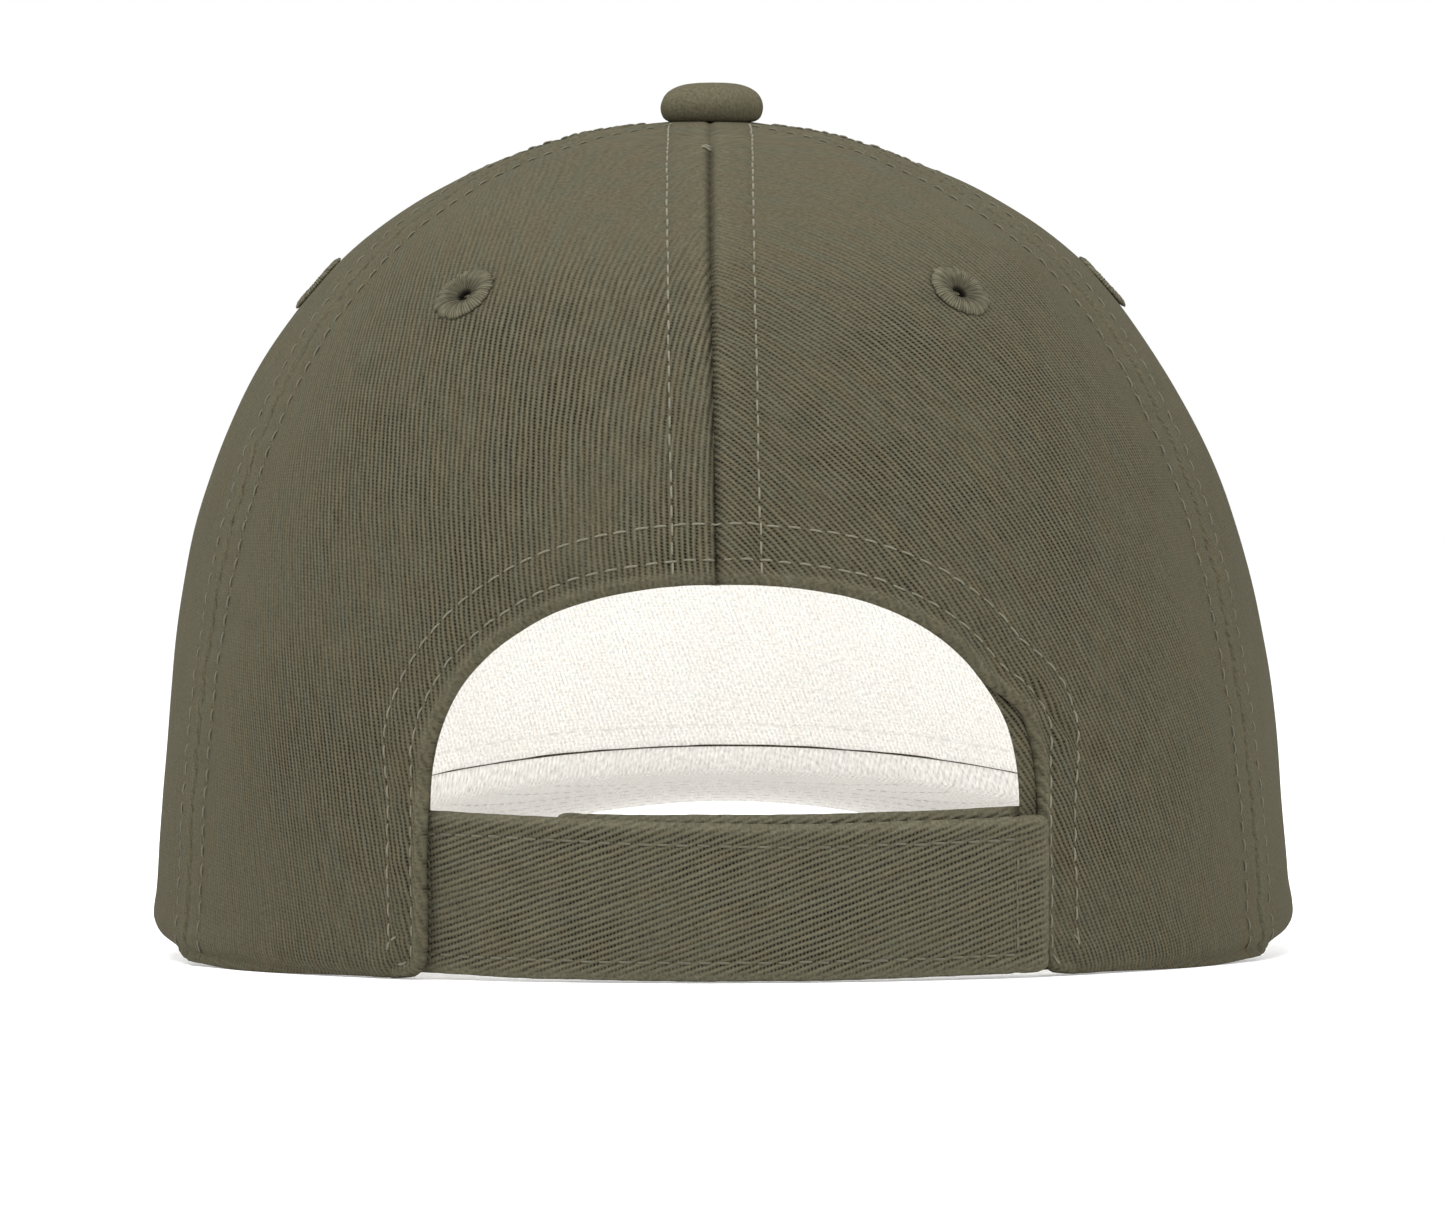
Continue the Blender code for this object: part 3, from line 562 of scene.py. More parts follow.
def facing_out(outer, inner, faces):
    """The faces, turned so that they look from the inner points to the outer ones."""
    middle = faces[len(faces) // 2]
    a, b, c = outer[middle[:3]]
    out = a - inner[middle[0]]
    return faces if np.dot(np.cross(b - a, c - b), out) > 0 else faces[:, ::-1]


def open_border(faces):
    """The edges that only one face has, in its own order, and those faces."""
    edges = np.concatenate([faces[:, [k, (k + 1) % 4]] for k in range(4)])
    owner = np.tile(np.arange(len(faces)), 4)
    low, high = edges.min(1), edges.max(1)
    _, first, count = np.unique(low * (faces.max() + 1) + high, return_index=True, return_counts=True)
    border = first[count == 1]
    return edges[border], faces[owner[border]]


def rounded_edge(outer, inner, edges, owners, rim):
    """Points halfway through the cloth along its border, a little outside it."""
    away = np.zeros_like(outer)
    push = outer[edges].mean(1) - outer[owners].mean(1)
    for end in range(2):
        np.add.at(away, edges[:, end], push)
    thickness = np.linalg.norm(outer[rim] - inner[rim], axis=1, keepdims=True)
    return (outer[rim] + inner[rim]) / 2 + unit(away[rim]) * thickness * EDGE_BULGE


def closed_cloth(name, outer, inner, material, uv, faces=None, wear=0.0, shade=0.0, nap=0.0):
    """A closed piece of cloth between two grids of points, with a rounded edge."""
    faces = grid_faces(*outer.shape[:2]) if faces is None else faces
    used = np.unique(faces)
    marks = [np.broadcast_to(mark, outer.shape[:-1]).ravel()[used] for mark in (wear, shade, nap)]
    outer, inner, uv = (grid.reshape(-1, grid.shape[-1])[used] for grid in (outer, inner, uv))
    faces = facing_out(outer, inner, np.searchsorted(used, faces))
    edges, owners = open_border(faces)
    rim = np.unique(edges)
    count = len(outer)
    a, b = edges.T
    place_a, place_b = 2 * count + np.searchsorted(rim, edges.T)
    sides = [np.stack([b, a, place_a, place_b], 1), np.stack([place_b, place_a, a + count, b + count], 1)]
    every = np.concatenate([faces, faces[:, ::-1] + count] + sides)
    points = np.concatenate([outer, inner, rounded_edge(outer, inner, edges, owners, rim)])
    wear, shade, nap = (np.concatenate([mark, mark, mark[rim]]) for mark in marks)
    return make_object(name, points, every, material, np.concatenate([uv, uv, uv[rim]]),
                       wear=wear, shade=shade, nap=nap)


def punch(points, centre, radius):
    """Open a round hole in a grid: points inside it move to its edge, and faces wholly inside go."""
    offset = points - centre
    inside = np.linalg.norm(offset, axis=-1) < radius
    faces = grid_faces(*points.shape[:2])
    moved = np.where(inside[..., None], centre + unit(offset) * radius, points)
    return moved, faces[~inside.ravel()[faces].all(1)]


def rib_map(across, along, turn=0.0):
    """Cloth coordinates turned so that the first runs across the twill's ribs, in metres."""
    across, along = np.broadcast_arrays(across, along)
    cos, sin = math.cos(turn), math.sin(turn)
    return np.stack([cos * across + sin * along, cos * along - sin * across], -1)


def declare_sheet(grid, allowance=0.0):
    """Work out the flat width, length and area of the cut that a grid of points was sewn from; nothing keeps
    them.
    """
    across, along = run_along(grid.transpose(1, 0, 2))[-1], run_along(grid)[-1]
    first, second = np.diff(grid, axis=1)[:-1], np.diff(grid, axis=0)[:, :-1]
    area = np.linalg.norm(np.cross(first, second), axis=2).sum()
    border = across[0] + across[-1] + along[0] + along[-1]
    width, length = across.max() + 2 * allowance, along.max() + 2 * allowance
    area = float(min(area + border * allowance, width * length))


def sew_on(piece, slot, *nodes, body="crown", grid=None, allowance=0.0):
    """Let a piece ride on a body and stand for its CAD nodes, which it hides; its sheet is measured but not
    kept. The slot is not used.
    """
    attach(piece, body)
    if nodes:
        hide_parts(*nodes)
    if grid is not None:
        declare_sheet(grid, allowance)


# ---- stitches ----

class Path:
    """A line on the cloth with the cloth's normals beside it, read by distance along it."""

    def __init__(self, points, normals):
        self.points, self.normals = points, normals
        self.distances = run_along(points)
        self.length = self.distances[-1]

    def read(self, values, distance):
        return np.stack([np.interp(distance, self.distances, values[:, k]) for k in range(3)], -1)

    def at(self, distance):
        return self.read(self.points, distance)

    def normal_at(self, distance):
        return unit(self.read(self.normals, distance))


def capsules(path, start, length, radius, lift, wander):
    """Short rounded threads along a path; lift gives their height over the cloth from end to end."""
    stations, sides = np.linspace(-1, 1, 7), 6
    distance = (start[:, None] + (stations + 1) / 2 * length).ravel()
    bend = np.abs(np.tile(stations, len(start)))[:, None]
    normal = path.normal_at(distance)
    ahead = path.at(distance + 0.1 * MM) - path.at(distance - 0.1 * MM)
    side = unit(np.cross(ahead, normal))
    middle = path.at(distance) + side * np.repeat(wander, len(stations))[:, None] + normal * lift(bend)
    thick = radius * (1 - 0.45 * bend ** 4)
    angles = np.arange(sides) * TAU / sides
    ring = [middle + thick * (math.cos(a) * side + math.sin(a) * normal) for a in angles]
    last = sides * (len(stations) - 1)
    cap = np.array([[3, 2, 1, 0], [5, 4, 3, 0]])
    one = np.concatenate([grid_faces(len(stations), sides, wrap=True), cap, cap[:, ::-1] + last])
    faces = one[None] + sides * len(stations) * np.arange(len(start))[:, None, None]
    return np.stack(ring, 1).reshape(-1, 3), faces.reshape(-1, 4)


def stitch_row(path, seed, pitch=STITCH_PITCH, share=0.8, radius=THREAD_RADIUS):
    """Points and quads of a row of stitches that dive into the cloth at both ends."""
    random = np.random.default_rng(seed)
    count = max(int(path.length / pitch), 1)
    start = (np.arange(count) + 0.1) * pitch + random.normal(0, 0.04 * pitch, count)
    wander = random.normal(0, 0.05 * MM, count)
    return capsules(path, start, share * pitch, radius,
                    lambda bend: radius * (0.75 - 1.9 * bend ** 3), wander)


def stitch_piece(name, rows, material):
    """One piece from several rows of threads, each given by its points and faces."""
    counts = np.cumsum([0] + [len(points) for points, _ in rows])
    faces = np.concatenate([faces + first for (_, faces), first in zip(rows, counts)])
    return make_object(name, np.concatenate([points for points, _ in rows]), faces, material)


def stitches(name, paths, seed, material, slot="eyelet_thread", body="crown", **pattern):
    """Sew a row of stitches along each path, with a seed of its own."""
    rows = [stitch_row(path, seed + number, **pattern) for number, path in enumerate(paths)]
    sew_on(stitch_piece(name, rows, material), slot, body=body)


# ---- seams, hems and the relief they press into the cloth ----

class Track:
    """Seams or edges as close points, asked how far a place is from them and where along them."""

    def __init__(self, *curves):
        self.tree = KDTree(sum(len(curve) for curve in curves))
        for index, point in enumerate(np.concatenate(curves)):
            self.tree.insert(point, index)
        self.tree.balance()
        along = [run_along(curve) + number * NEXT_SEAM for number, curve in enumerate(curves)]
        self.along = np.concatenate(along)

    def nearest(self, points):
        found = [self.tree.find(point) for point in points.reshape(-1, 3)]
        distance = np.array([item[2] for item in found])
        along = self.along[[item[1] for item in found]]
        return distance.reshape(points.shape[:-1]), along.reshape(points.shape[:-1])


def opening_outline(below, arch, beyond=0.0, folded=True):
    """x and height along the rear opening, from the left tail's foot over the arch to the right's."""
    side = OPENING_HALF_WIDTH + beyond
    angle = np.linspace(0, math.pi, arch)
    power = 2 / ARCH_ROUNDNESS
    bow = np.sign(np.cos(angle)) * np.abs(np.cos(angle)) ** power
    rise = OPENING_HEIGHT - OPENING_SIDE_HEIGHT + beyond
    foot = np.linspace(0, OPENING_SIDE_HEIGHT, below, endpoint=False)
    x = np.concatenate([np.full(below, side), side * bow, np.full(below, -side)])
    height = np.concatenate([foot, OPENING_SIDE_HEIGHT + rise * np.sin(angle) ** power, foot[::-1]])
    spread = corner_inset(height, TAIL_CORNER)
    if folded:
        fold = (x < 0) * smoothstep((TAIL_SHIFT_HEIGHT - height) / (1.6 * TAIL_CORNER))
        spread = spread + TAIL_SHIFT * fold
    return x + np.sign(x) * spread, height


def corner_inset(distance, radius):
    """How far a rounded corner lies inside a square one, at a distance from its end."""
    short = np.clip(radius - distance, 0, radius)
    return radius - np.sqrt(radius ** 2 - short ** 2)


def evenly(values, points, count):
    """Resample rows of values so that the points they stand for are evenly spaced."""
    length = run_along(points)
    at = np.linspace(0, length[-1], count)
    return [np.interp(at, length, value) for value in values]


def on_back(x, height):
    return crown_point(*back_place(x, height), 0.0)


def seam_start(seam):
    return float(climb_at(seam, OPENING_HEIGHT if seam == 0 else rim_height(seam)))


def seam_curve(seam):
    return crown_point(seam, np.linspace(seam_start(seam), TOP - 1e-4, 900), 0.0)


SEAMS = Track(*[seam_curve(number * SIXTH) for number in (0, 1, 2, 3, -2, -1)])
EDGE = Track(on_back(*opening_outline(200, 900)))
TAIL_FOLD = Track(on_back(np.linspace(-43.5, -52, 60) * MM, np.linspace(44, 33, 60) * MM))


def wobble(along, wave, seed):
    """An irregular wave between about -1 and 1."""
    random = np.random.default_rng(seed)
    total = 0
    for ratio, share in ((1.0, 0.5), (0.62, 0.3), (1.73, 0.35)):
        total = total + share * np.sin(TAU * along / (wave * ratio) + random.uniform(0, TAU))
    return total


def lump(points, size, seed):
    """Smooth noise between -1 and 1 over places, with features of about the given size."""
    shift = Vector((seed * 3.7, seed * 1.3, seed * 2.1))
    values = [noise.noise(Vector(point) / size + shift) for point in points.reshape(-1, 3)]
    return np.array(values).reshape(points.shape[:-1])


def ridge(distance, reach, soft):
    """One from a seam out to reach, falling to zero over soft."""
    return 1 - smoothstep((distance - reach) / soft)


def hem_offset(row, x, height):
    """How far a hem's stitch row lies from the opening's edge, on its tails and over its arch."""
    arch = smoothstep((height - OPENING_SIDE_HEIGHT) / (0.6 * OPENING_SIDE_HEIGHT))
    tail = TAIL_STITCHES[row] - RIGHT_TAIL_CLOSER * (x < 0) * (row == 0)
    return blend(tail, HEM_STITCHES[row], arch)


def seam_relief(points, radius):
    """Height of the cloth beside the crown's seams, the distance from them, and the painted shade in their
    creases.
    """
    distance, along = SEAMS.nearest(points)
    tacked = smoothstep((radius - BARTACK_RADIUS + 4 * MM) / (6 * MM))
    on_rear_seam = along < NEXT_SEAM / 2
    depth = np.where(on_rear_seam, blend(0.35, 1.0, tacked), 0.85)
    flat = smoothstep((radius - 8 * MM) / (10 * MM))
    groove = -SEAM_GROOVE * depth * bell(distance, 0.55 * MM)
    raised = SEAM_RAISE * ridge(distance, SEAM_STITCH - 0.5 * MM, 1.3 * MM)
    needle = -SEAM_NEEDLE * bell(distance - SEAM_STITCH, 0.55 * MM)
    between = ridge(distance, SEAM_STITCH - MM, MM) * smoothstep(distance / (1.2 * MM))
    small = 0.15 * MM * wobble(along, 3.4 * MM, 3) * between
    small = small + 0.12 * MM * np.sin(TAU * along / (1.9 * MM)) * bell(distance - 0.7 * MM, 0.6 * MM)
    wide = 0.17 * MM * wobble(along, 11 * MM, 5) * bell(distance, 9 * MM)
    notches = 0.7 + 0.3 * np.sin(TAU * along / STITCH_PITCH)
    # How dark the painted shade in each seam's crease is, darkest on the back seam
    crease = np.where(on_rear_seam, depth, 0.35) * notches
    return groove + (raised + needle + small + wide) * flat, distance, crease


def hem_relief(points):
    """Height of the cloth beside the opening's edge, and the distance from it."""
    distance, along = EDGE.nearest(points)
    rows = [hem_offset(row, points[..., 0], points[..., 2]) for row in (0, 1)]
    strip = 0.30 * MM * bell(distance - 1.0 * MM, 0.75 * MM)
    roll = -HEM_ROLL * bell(distance, 0.42 * MM) - 0.16 * MM * bell(distance - 2.1 * MM, 0.4 * MM)
    raised = HEM_RAISE * ridge(distance, rows[1] + 0.1 * MM, 1.2 * MM)
    needle = sum(-HEM_NEEDLE * bell(distance - row, 0.5 * MM) for row in rows)
    between = ridge(distance, rows[1] - MM, MM) * smoothstep((distance - 2 * MM) / MM)
    small = 0.13 * MM * wobble(along, 4.1 * MM, 8) * between
    wide = 0.20 * MM * wobble(along, 15 * MM, 9) * bell(distance, 11 * MM)
    return strip + roll + raised + needle + small + wide, distance


def fold_relief(points):
    """Height of the cloth beside the crease where the right tail is folded back."""
    distance, along = TAIL_FOLD.nearest(points)
    ends = smoothstep(along / (3 * MM)) * smoothstep((along.max() - along) / (4 * MM) + 0.4)
    return (0.5 * bell(distance - 1.4 * MM, 1.5 * MM) - 0.55 * bell(distance, 1.1 * MM)) * MM * ends


def relief(phase, climb, rear):
    """Height of the sewn cloth over the smooth crown, how worn it is, and the painted shade in its seams."""
    points = crown_point(phase, climb, 0.0)
    x, height = points[..., 0], points[..., 2]
    lift = height - rim_height(phase)
    radius = np.linalg.norm(points[..., :2], axis=-1)
    high, seam, crease = seam_relief(points, radius)
    high = high - 0.65 * MM * bell(lift, 0.7 * MM) + 0.25 * MM * bell(lift - 3 * MM, 2.2 * MM)
    calm = smoothstep((seam - 2 * MM) / (14 * MM)) * smoothstep(lift / (12 * MM) + 0.25)
    broad = sum(lump(points, size, seed) * tall
                for seed, (size, tall) in enumerate((BROAD_LUMPS, SMALL_LUMPS), 1))
    slope = bell(x + 33 * MM, 20 * MM) * smoothstep((height - 98 * MM) / (16 * MM))
    high = high - 0.9 * MM * slope
    high = high + broad * calm * smoothstep((radius - 12 * MM) / (25 * MM))
    wear = 0.35 * bell(seam - 1.6 * MM, 1.2 * MM) + 0.3 * bell(lift - 0.8 * MM, MM)
    if rear:
        hem, edge = hem_relief(points)
        high = high + hem
        wear = np.maximum(wear, 0.95 * bell(edge - 0.7 * MM, 0.9 * MM))
        if x.min() < -OPENING_HALF_WIDTH:
            high = high + fold_relief(points)
    return high, np.clip(wear, 0, 1), np.clip(crease * bell(seam, 0.7 * MM), 0, 1)


def sewn_surface(phase, climb, rear=False):
    """Points on the sewn cloth and the smooth crown's normals there."""
    phase, climb = np.broadcast_arrays(phase, climb)
    return crown_point(phase, climb, -relief(phase, climb, rear)[0]), outward(phase, climb)


# ---- the six panels ----

def shares_across(width, between):
    """Shares of the way along lines of given lengths: close beside both ends, wider apart between."""
    squeeze = np.minimum(1, width / (2.6 * BESIDE_EDGE[-1]))
    near = BESIDE_EDGE[None] * (squeeze / width)[:, None]
    first = near[:, -1:]
    middle = first + (1 - 2 * first) * np.linspace(0, 1, between + 2)[None, 1:-1]
    return np.concatenate([near, middle, 1 - near[:, ::-1]], axis=1)


def seam_top(phase, radius=APEX_HOLE_RADIUS):
    return float(climb_near_axis(np.array(phase), radius))


def panel_edge(phase, rows):
    """Phases and climbs up a seam from the rim, evenly spaced."""
    climb = np.linspace(float(climb_at(phase, rim_height(phase))), seam_top(phase), 600)
    climb, = evenly([climb], crown_point(phase, climb, 0.0), rows)
    return np.full(rows, phase), climb


def opening_side(rows, right):
    """Phases and climbs up the opening's edge and then up the back seam, evenly spaced."""
    x, height = opening_outline(120, 801)
    half = len(x) // 2 + 1
    x, height = (x[::-1][:half], height[::-1][:half]) if right else (x[:half], height[:half])
    phase, climb = back_place(x, height)
    seam = np.linspace(climb[-1], seam_top(0.0), 500)[1:]
    phase = np.concatenate([phase, np.zeros(len(seam))])
    climb = np.concatenate([climb, seam])
    return evenly([phase, climb], crown_point(phase, climb, 0.0), rows)


def cloth_place(phase, climb, first):
    """Distance to the right of a panel's middle line and up from the rim, as on the flat cloth."""
    middle = first + SIXTH / 2
    steps = np.linspace(0, TOP - 1e-3, 400)
    chord = outer_point(first + SIXTH, steps, False) - outer_point(first, steps, False)
    width = np.linalg.norm(chord, axis=1) * PANEL_BOW
    up = run_along(crown_point(middle, steps, 0.0))
    share = -(phase - middle) / SIXTH
    wide = np.interp(climb, steps, width)
    beside = share * wide
    bend = -share * np.interp(climb, steps, np.gradient(width, up))
    stretch = share * CLOTH_PULL * (wide - 0.9 * width[0])
    return beside * np.cos(bend / 2) + stretch, np.interp(climb, steps, up) + beside * np.sin(bend / 2)


def brushed(phase, points, rear):
    """The nap hides the ribs towards the top, the sides and the folds, and leaves the back crisp."""
    aside = smoothstep((np.abs(phase) - math.radians(31)) / math.radians(30))
    high = 1.3 * smoothstep((points[..., 2] - 92 * MM) / (22 * MM))
    patches = 0.5 + 0.5 * lump(points, 30 * MM, 12)
    nap = np.clip(0.66 * np.maximum(aside, high) + 0.35 * (patches - 0.35), 0, 0.92)
    folded = bell(points[..., 2] - rim_height(phase), 1.2 * MM)
    if rear:
        folded = np.maximum(folded, bell(EDGE.nearest(points)[0] - 0.6 * MM, 0.9 * MM))
    return np.maximum(nap, 0.6 * folded)


def panel_places(number, rows, between, rear):
    """Phases and climbs over a panel, closer together beside its seams."""
    sides = [panel_edge(number * SIXTH, rows), panel_edge((number + 1) * SIXTH, rows)]
    if rear:
        right = number != 0
        sides[right] = opening_side(rows, right)
    left, right = (crown_point(phase, climb, 0.0) for phase, climb in sides)
    share = shares_across(np.linalg.norm(right - left, axis=1) * PANEL_BOW, between)
    return [blend(a[:, None], b[:, None], share) for a, b in zip(*sides)]


def panel(name, number):
    """A panel of twill from seam to seam, with a hole for its eyelet."""
    first = number * SIXTH
    rear = name.startswith("rear")
    rows, between = (230, 62) if rear else (150, 44)
    phase, climb = panel_places(number, rows, between, rear)
    high, wear, shade = relief(phase, climb, rear)
    normal = outward(phase, climb)
    smooth = crown_point(phase, climb, 0.0)
    eye = crown_point(first + SIXTH / 2, EYELET_CLIMB, 0.0)
    base, faces = punch(smooth, eye, EYELET_PUNCH)
    outer = base + normal * high[..., None]
    uv = rib_map(*cloth_place(phase, climb, first), RIB_TURNS.get(name, RIB_TURN))
    piece = closed_cloth("panel_cloth_" + name, outer, outer - normal * CLOTH, TWILL, uv, faces,
                         wear, shade, brushed(phase, base, rear))
    sew_on(piece, "olive_twill", "panel_" + name, grid=smooth, allowance=SEAM_STITCH)


# ---- stitching on the crown ----

def seam_row(seam, side):
    """The row of stitches on one side of a seam, from its foot to beside the button."""
    foot = crown_point(seam, seam_start(seam), 0.0)[2] + (0.8 if seam == 0 else 2) * MM
    climb = np.linspace(float(climb_at(seam, foot)), seam_top(seam, ROW_STOP_RADIUS), 500)
    phase = seam + side * np.arcsin(SEAM_STITCH / ring_radius(seam, climb))
    phase = (phase + HALF_TURN) % TAU - HALF_TURN
    return Path(*sewn_surface(phase, climb, rear=abs(seam) < 1.1 * SIXTH))


def hem_row(row):
    """The row of stitches round the opening, from the left tail's foot to the right's."""
    x, height = opening_outline(120, 500)
    phase, climb = back_place(x, height)
    edge = crown_point(phase, climb, 0.0)
    across = unit(np.cross(outward(phase, climb), unit(np.gradient(edge, axis=0))))
    inward = across * np.sign((across * (edge - edge.mean(0))).sum(1).mean())
    target = edge + inward * hem_offset(row, x, height)[:, None]
    target = target[target[:, 2] > 1.2 * MM]
    return Path(*sewn_surface(*back_place(target[:, 0], target[:, 2]), rear=True))


def crown_stitches():
    for name, numbers, material in (("rear", (0,), THREAD), ("side", (1, -1), DULL_THREAD),
                                    ("front", (3, 2, -2), THREAD)):
        paths = [seam_row(number * SIXTH, side) for number in numbers for side in (-1, 1)]
        stitches("stitches_crown_" + name, paths, 11, material)
    stitches("stitches_opening", [hem_row(0), hem_row(1)], 31, THREAD)


def bartack():
    """A few short stitches that close the head of the back seam's crease, below the button."""
    climb = seam_top(0.0, BARTACK_RADIUS)
    width = 0.9 * MM / BARTACK_RADIUS
    phase = np.linspace(-0.4 * width, 1.6 * width, 12)
    slant = np.linspace(0, 0.006, 12)
    rows = []
    for step in range(4):
        points, normals = sewn_surface(phase, climb + step * 0.005 + slant, rear=True)
        path = Path(points + normals * 0.35 * MM * bell(phase, width)[:, None], normals)
        rows.append(stitch_row(path, 51 + step, pitch=path.length, share=0.9, radius=0.13 * MM))
    sew_on(stitch_piece("bartack_back_seam", rows, THREAD), "eyelet_thread")


# ---- eyelets ----

def eyelet(name, number):
    """A ring of satin stitches through the cloth, with each stitch a ripple round the ring."""
    place, normal = sewn_surface(np.array([(number + 0.5) * SIXTH]), EYELET_CLIMB)
    turn = Vector(normal[0]).to_track_quat("Z", "Y").to_matrix()
    random = np.random.default_rng(70 + number % 6)
    angle = np.arange(4 * EYELET_STITCHES) * TAU / (4 * EYELET_STITCHES)
    each = np.repeat(random.normal(0, 1, EYELET_STITCHES), 4)
    ripple = np.abs(np.sin(EYELET_STITCHES / 2 * angle))
    middle = (EYELET_HOLE + EYELET_RADIUS) / 2
    radius, height = EYELET_OUTLINE[:, :1], EYELET_OUTLINE[:, 1:]
    outer_share = smoothstep((radius - middle) / (EYELET_RADIUS - middle))
    grown = radius + outer_share * (0.14 * ripple + 0.16 * each) * MM
    raised = height + np.sign(height + 0.5 * MM) * 0.10 * MM * (ripple + 0.3 * each)
    local = np.stack([grown * np.cos(angle), grown * np.sin(angle), raised], -1)
    points = place[0] + local.reshape(-1, 3) @ np.array(turn).T
    faces = grid_faces(*grown.shape, wrap=True, wrap_rows=True)[:, [0, 3, 2, 1]]
    # Painted shade: darker down into the hole and on the ring's inner slope
    shade = 1 - smoothstep((radius - 0.8 * MM) / (0.6 * MM)) + 0.4 * bell(radius - 1.9 * MM, 0.9 * MM)
    shade = np.broadcast_to(np.minimum(shade, 1), grown.shape).ravel()
    uv = rib_map(angle * middle, radius).reshape(-1, 2)
    piece = make_object("sewn_eyelet_" + name, points, faces, EYELET_THREAD, uv, shade=shade)
    sew_on(piece, "eyelet_thread", "eyelet_" + name)


# ---- top button ----

def smooth_line(points, count):
    """A rounded line through a few points, evenly spaced."""
    length = run_along(points)
    slope = np.gradient(points, length, axis=0)
    at = np.linspace(0, length[-1], count)
    cell = np.clip(np.searchsorted(length, at) - 1, 0, len(points) - 2)
    span = (length[cell + 1] - length[cell])[:, None]
    t = (at - length[cell])[:, None] / span
    curve = blend(points[cell], points[cell + 1], smoothstep(t))
    return curve + (t * (t - 1) ** 2 * slope[cell] + t ** 2 * (t - 1) * slope[cell + 1]) * span


def button_cover():
    """Cloth stretched over the button's shell and gathered under its edge."""
    steps = 96
    line = smooth_line(BUTTON_OUTLINE, 40)
    line[0, 0] = 0.02 * MM
    slope = unit(np.gradient(line, axis=0))
    normal = np.stack([slope[:, 1], -slope[:, 0]], -1)
    angle = np.arange(steps) * TAU / steps
    ring = np.stack([np.cos(angle), np.sin(angle)], -1)
    gather = smoothstep((line[:, 0] - 6.2 * MM) / MM) * smoothstep((3.2 * MM - line[:, 1]) / (2 * MM))
    fold = wobble(angle * BUTTON_RADIUS, TAU * BUTTON_RADIUS / 13, 4) * 0.16 * MM

    def turned(depth):
        """The outline at a depth, turned round the button's axis."""
        radius, height = (line - depth * normal).T
        radius = radius[:, None] + gather[:, None] * fold
        spots = [radius * ring[:, 0], radius * ring[:, 1], np.broadcast_to(height[:, None], radius.shape)]
        return np.stack(spots, -1) + np.array([0.8 * LEAN, 0, CROWN_HEIGHT])

    run = run_along(line)
    flat = run[:, None, None] * ring
    wear = 0.25 * bell(line[:, 0] - 0.9 * line[:, 0].max(), MM)[:, None]
    piece = closed_cloth("button_cloth", turned(0.0), turned(BUTTON_CLOTH), FINE_TWILL,
                         rib_map(flat[..., 0], flat[..., 1], 0.9), grid_faces(40, steps, wrap=True), wear)
    sew_on(piece, "button_twill", "button_cover")


# ---- straps ----

Strap = namedtuple("Strap", "part tip root heights depth_at seed bend")


def upper_face(x):
    """Depth of the upper strap's outer face, as in the CAD model."""
    share = (x - STRAP_UPPER_TIP_X) / (STRAP_UPPER_FOLD_X - STRAP_UPPER_TIP_X)
    return blend(STRAP_UPPER_TIP_DEPTH, STRAP_UPPER_FOLD_DEPTH, np.minimum(share, 1))


def upper_depth(x):
    return upper_face(x) + 0.35 * MM * smoothstep((x - 34 * MM) / (8 * MM))


def hook_depth(x):
    return upper_face(x) + STRAP + FASTENER_GAP


def loop_depth(x):
    return hook_depth(x) + FASTENER + FASTENER_GAP


def loop_face(x):
    return loop_depth(x) + 0.35 * MM


def lower_depth(x):
    return loop_depth(np.maximum(x, STRAP_LOWER_FOLD_X)) + FASTENER + FASTENER_GAP


def upper_heights(x):
    top = blend(STRAP_TOP, STRAP_TOP_LEFT, smoothstep((x + 12 * MM) / (52 * MM)))
    return np.full(np.shape(x), STRAP_LOW), top


def lower_heights(x):
    return [np.full(np.shape(x), height + STRAP_LOWER_RAISE) for height in (STRAP_LOW, STRAP_HIGH)]


UPPER_STRAP = Strap("upper", STRAP_UPPER_TIP_X, STRAP_UPPER_FOLD_X + STRAP_ROOT_LENGTH, upper_heights,
                    upper_depth, 21, (43.5 * MM, 36 * MM))
LOWER_STRAP = Strap("lower", STRAP_LOWER_TIP_X, STRAP_LOWER_FOLD_X - STRAP_ROOT_LENGTH, lower_heights,
                    lower_depth, 24, (-44 * MM, -37 * MM))


def band_place(x, height, depth):
    phase, climb = back_place(x, height)
    return crown_point(phase, climb, depth, False), outward(phase, climb, False)


def strap_surface(strap, x, height):
    """A strap's smooth and sewn outer points, its normals, and the distance from its edge."""
    low, top = strap.heights(x)
    smooth, normal = band_place(x, height, strap.depth_at(x))
    below_top, above_bottom, from_tip = top - height, height - low, np.abs(x - strap.tip)
    edge = np.minimum(np.minimum(below_top, above_bottom), from_tip)
    high = -STRAP_ROLL * bell(edge, 0.5 * MM) + 0.16 * MM * bell(edge - 1.5 * MM, 0.9 * MM)
    for row in (below_top - STRAP_ROWS[0], above_bottom - STRAP_ROWS[1], from_tip - TIP_ROW):
        high = high - STRAP_NEEDLE * bell(row, 0.55 * MM)
    high = high + 0.22 * MM * ridge(from_tip, TIP_ROW - 1.2 * MM, 1.2 * MM)
    high = high + ridge(edge, 2.2 * MM, MM) * wobble(x, 4.3 * MM, strap.seed) * 0.08 * MM
    high = high + 0.14 * MM * wobble(x + 0.6 * below_top, 23 * MM, strap.seed + 1)
    return smooth, smooth + normal * high[..., None], normal, edge


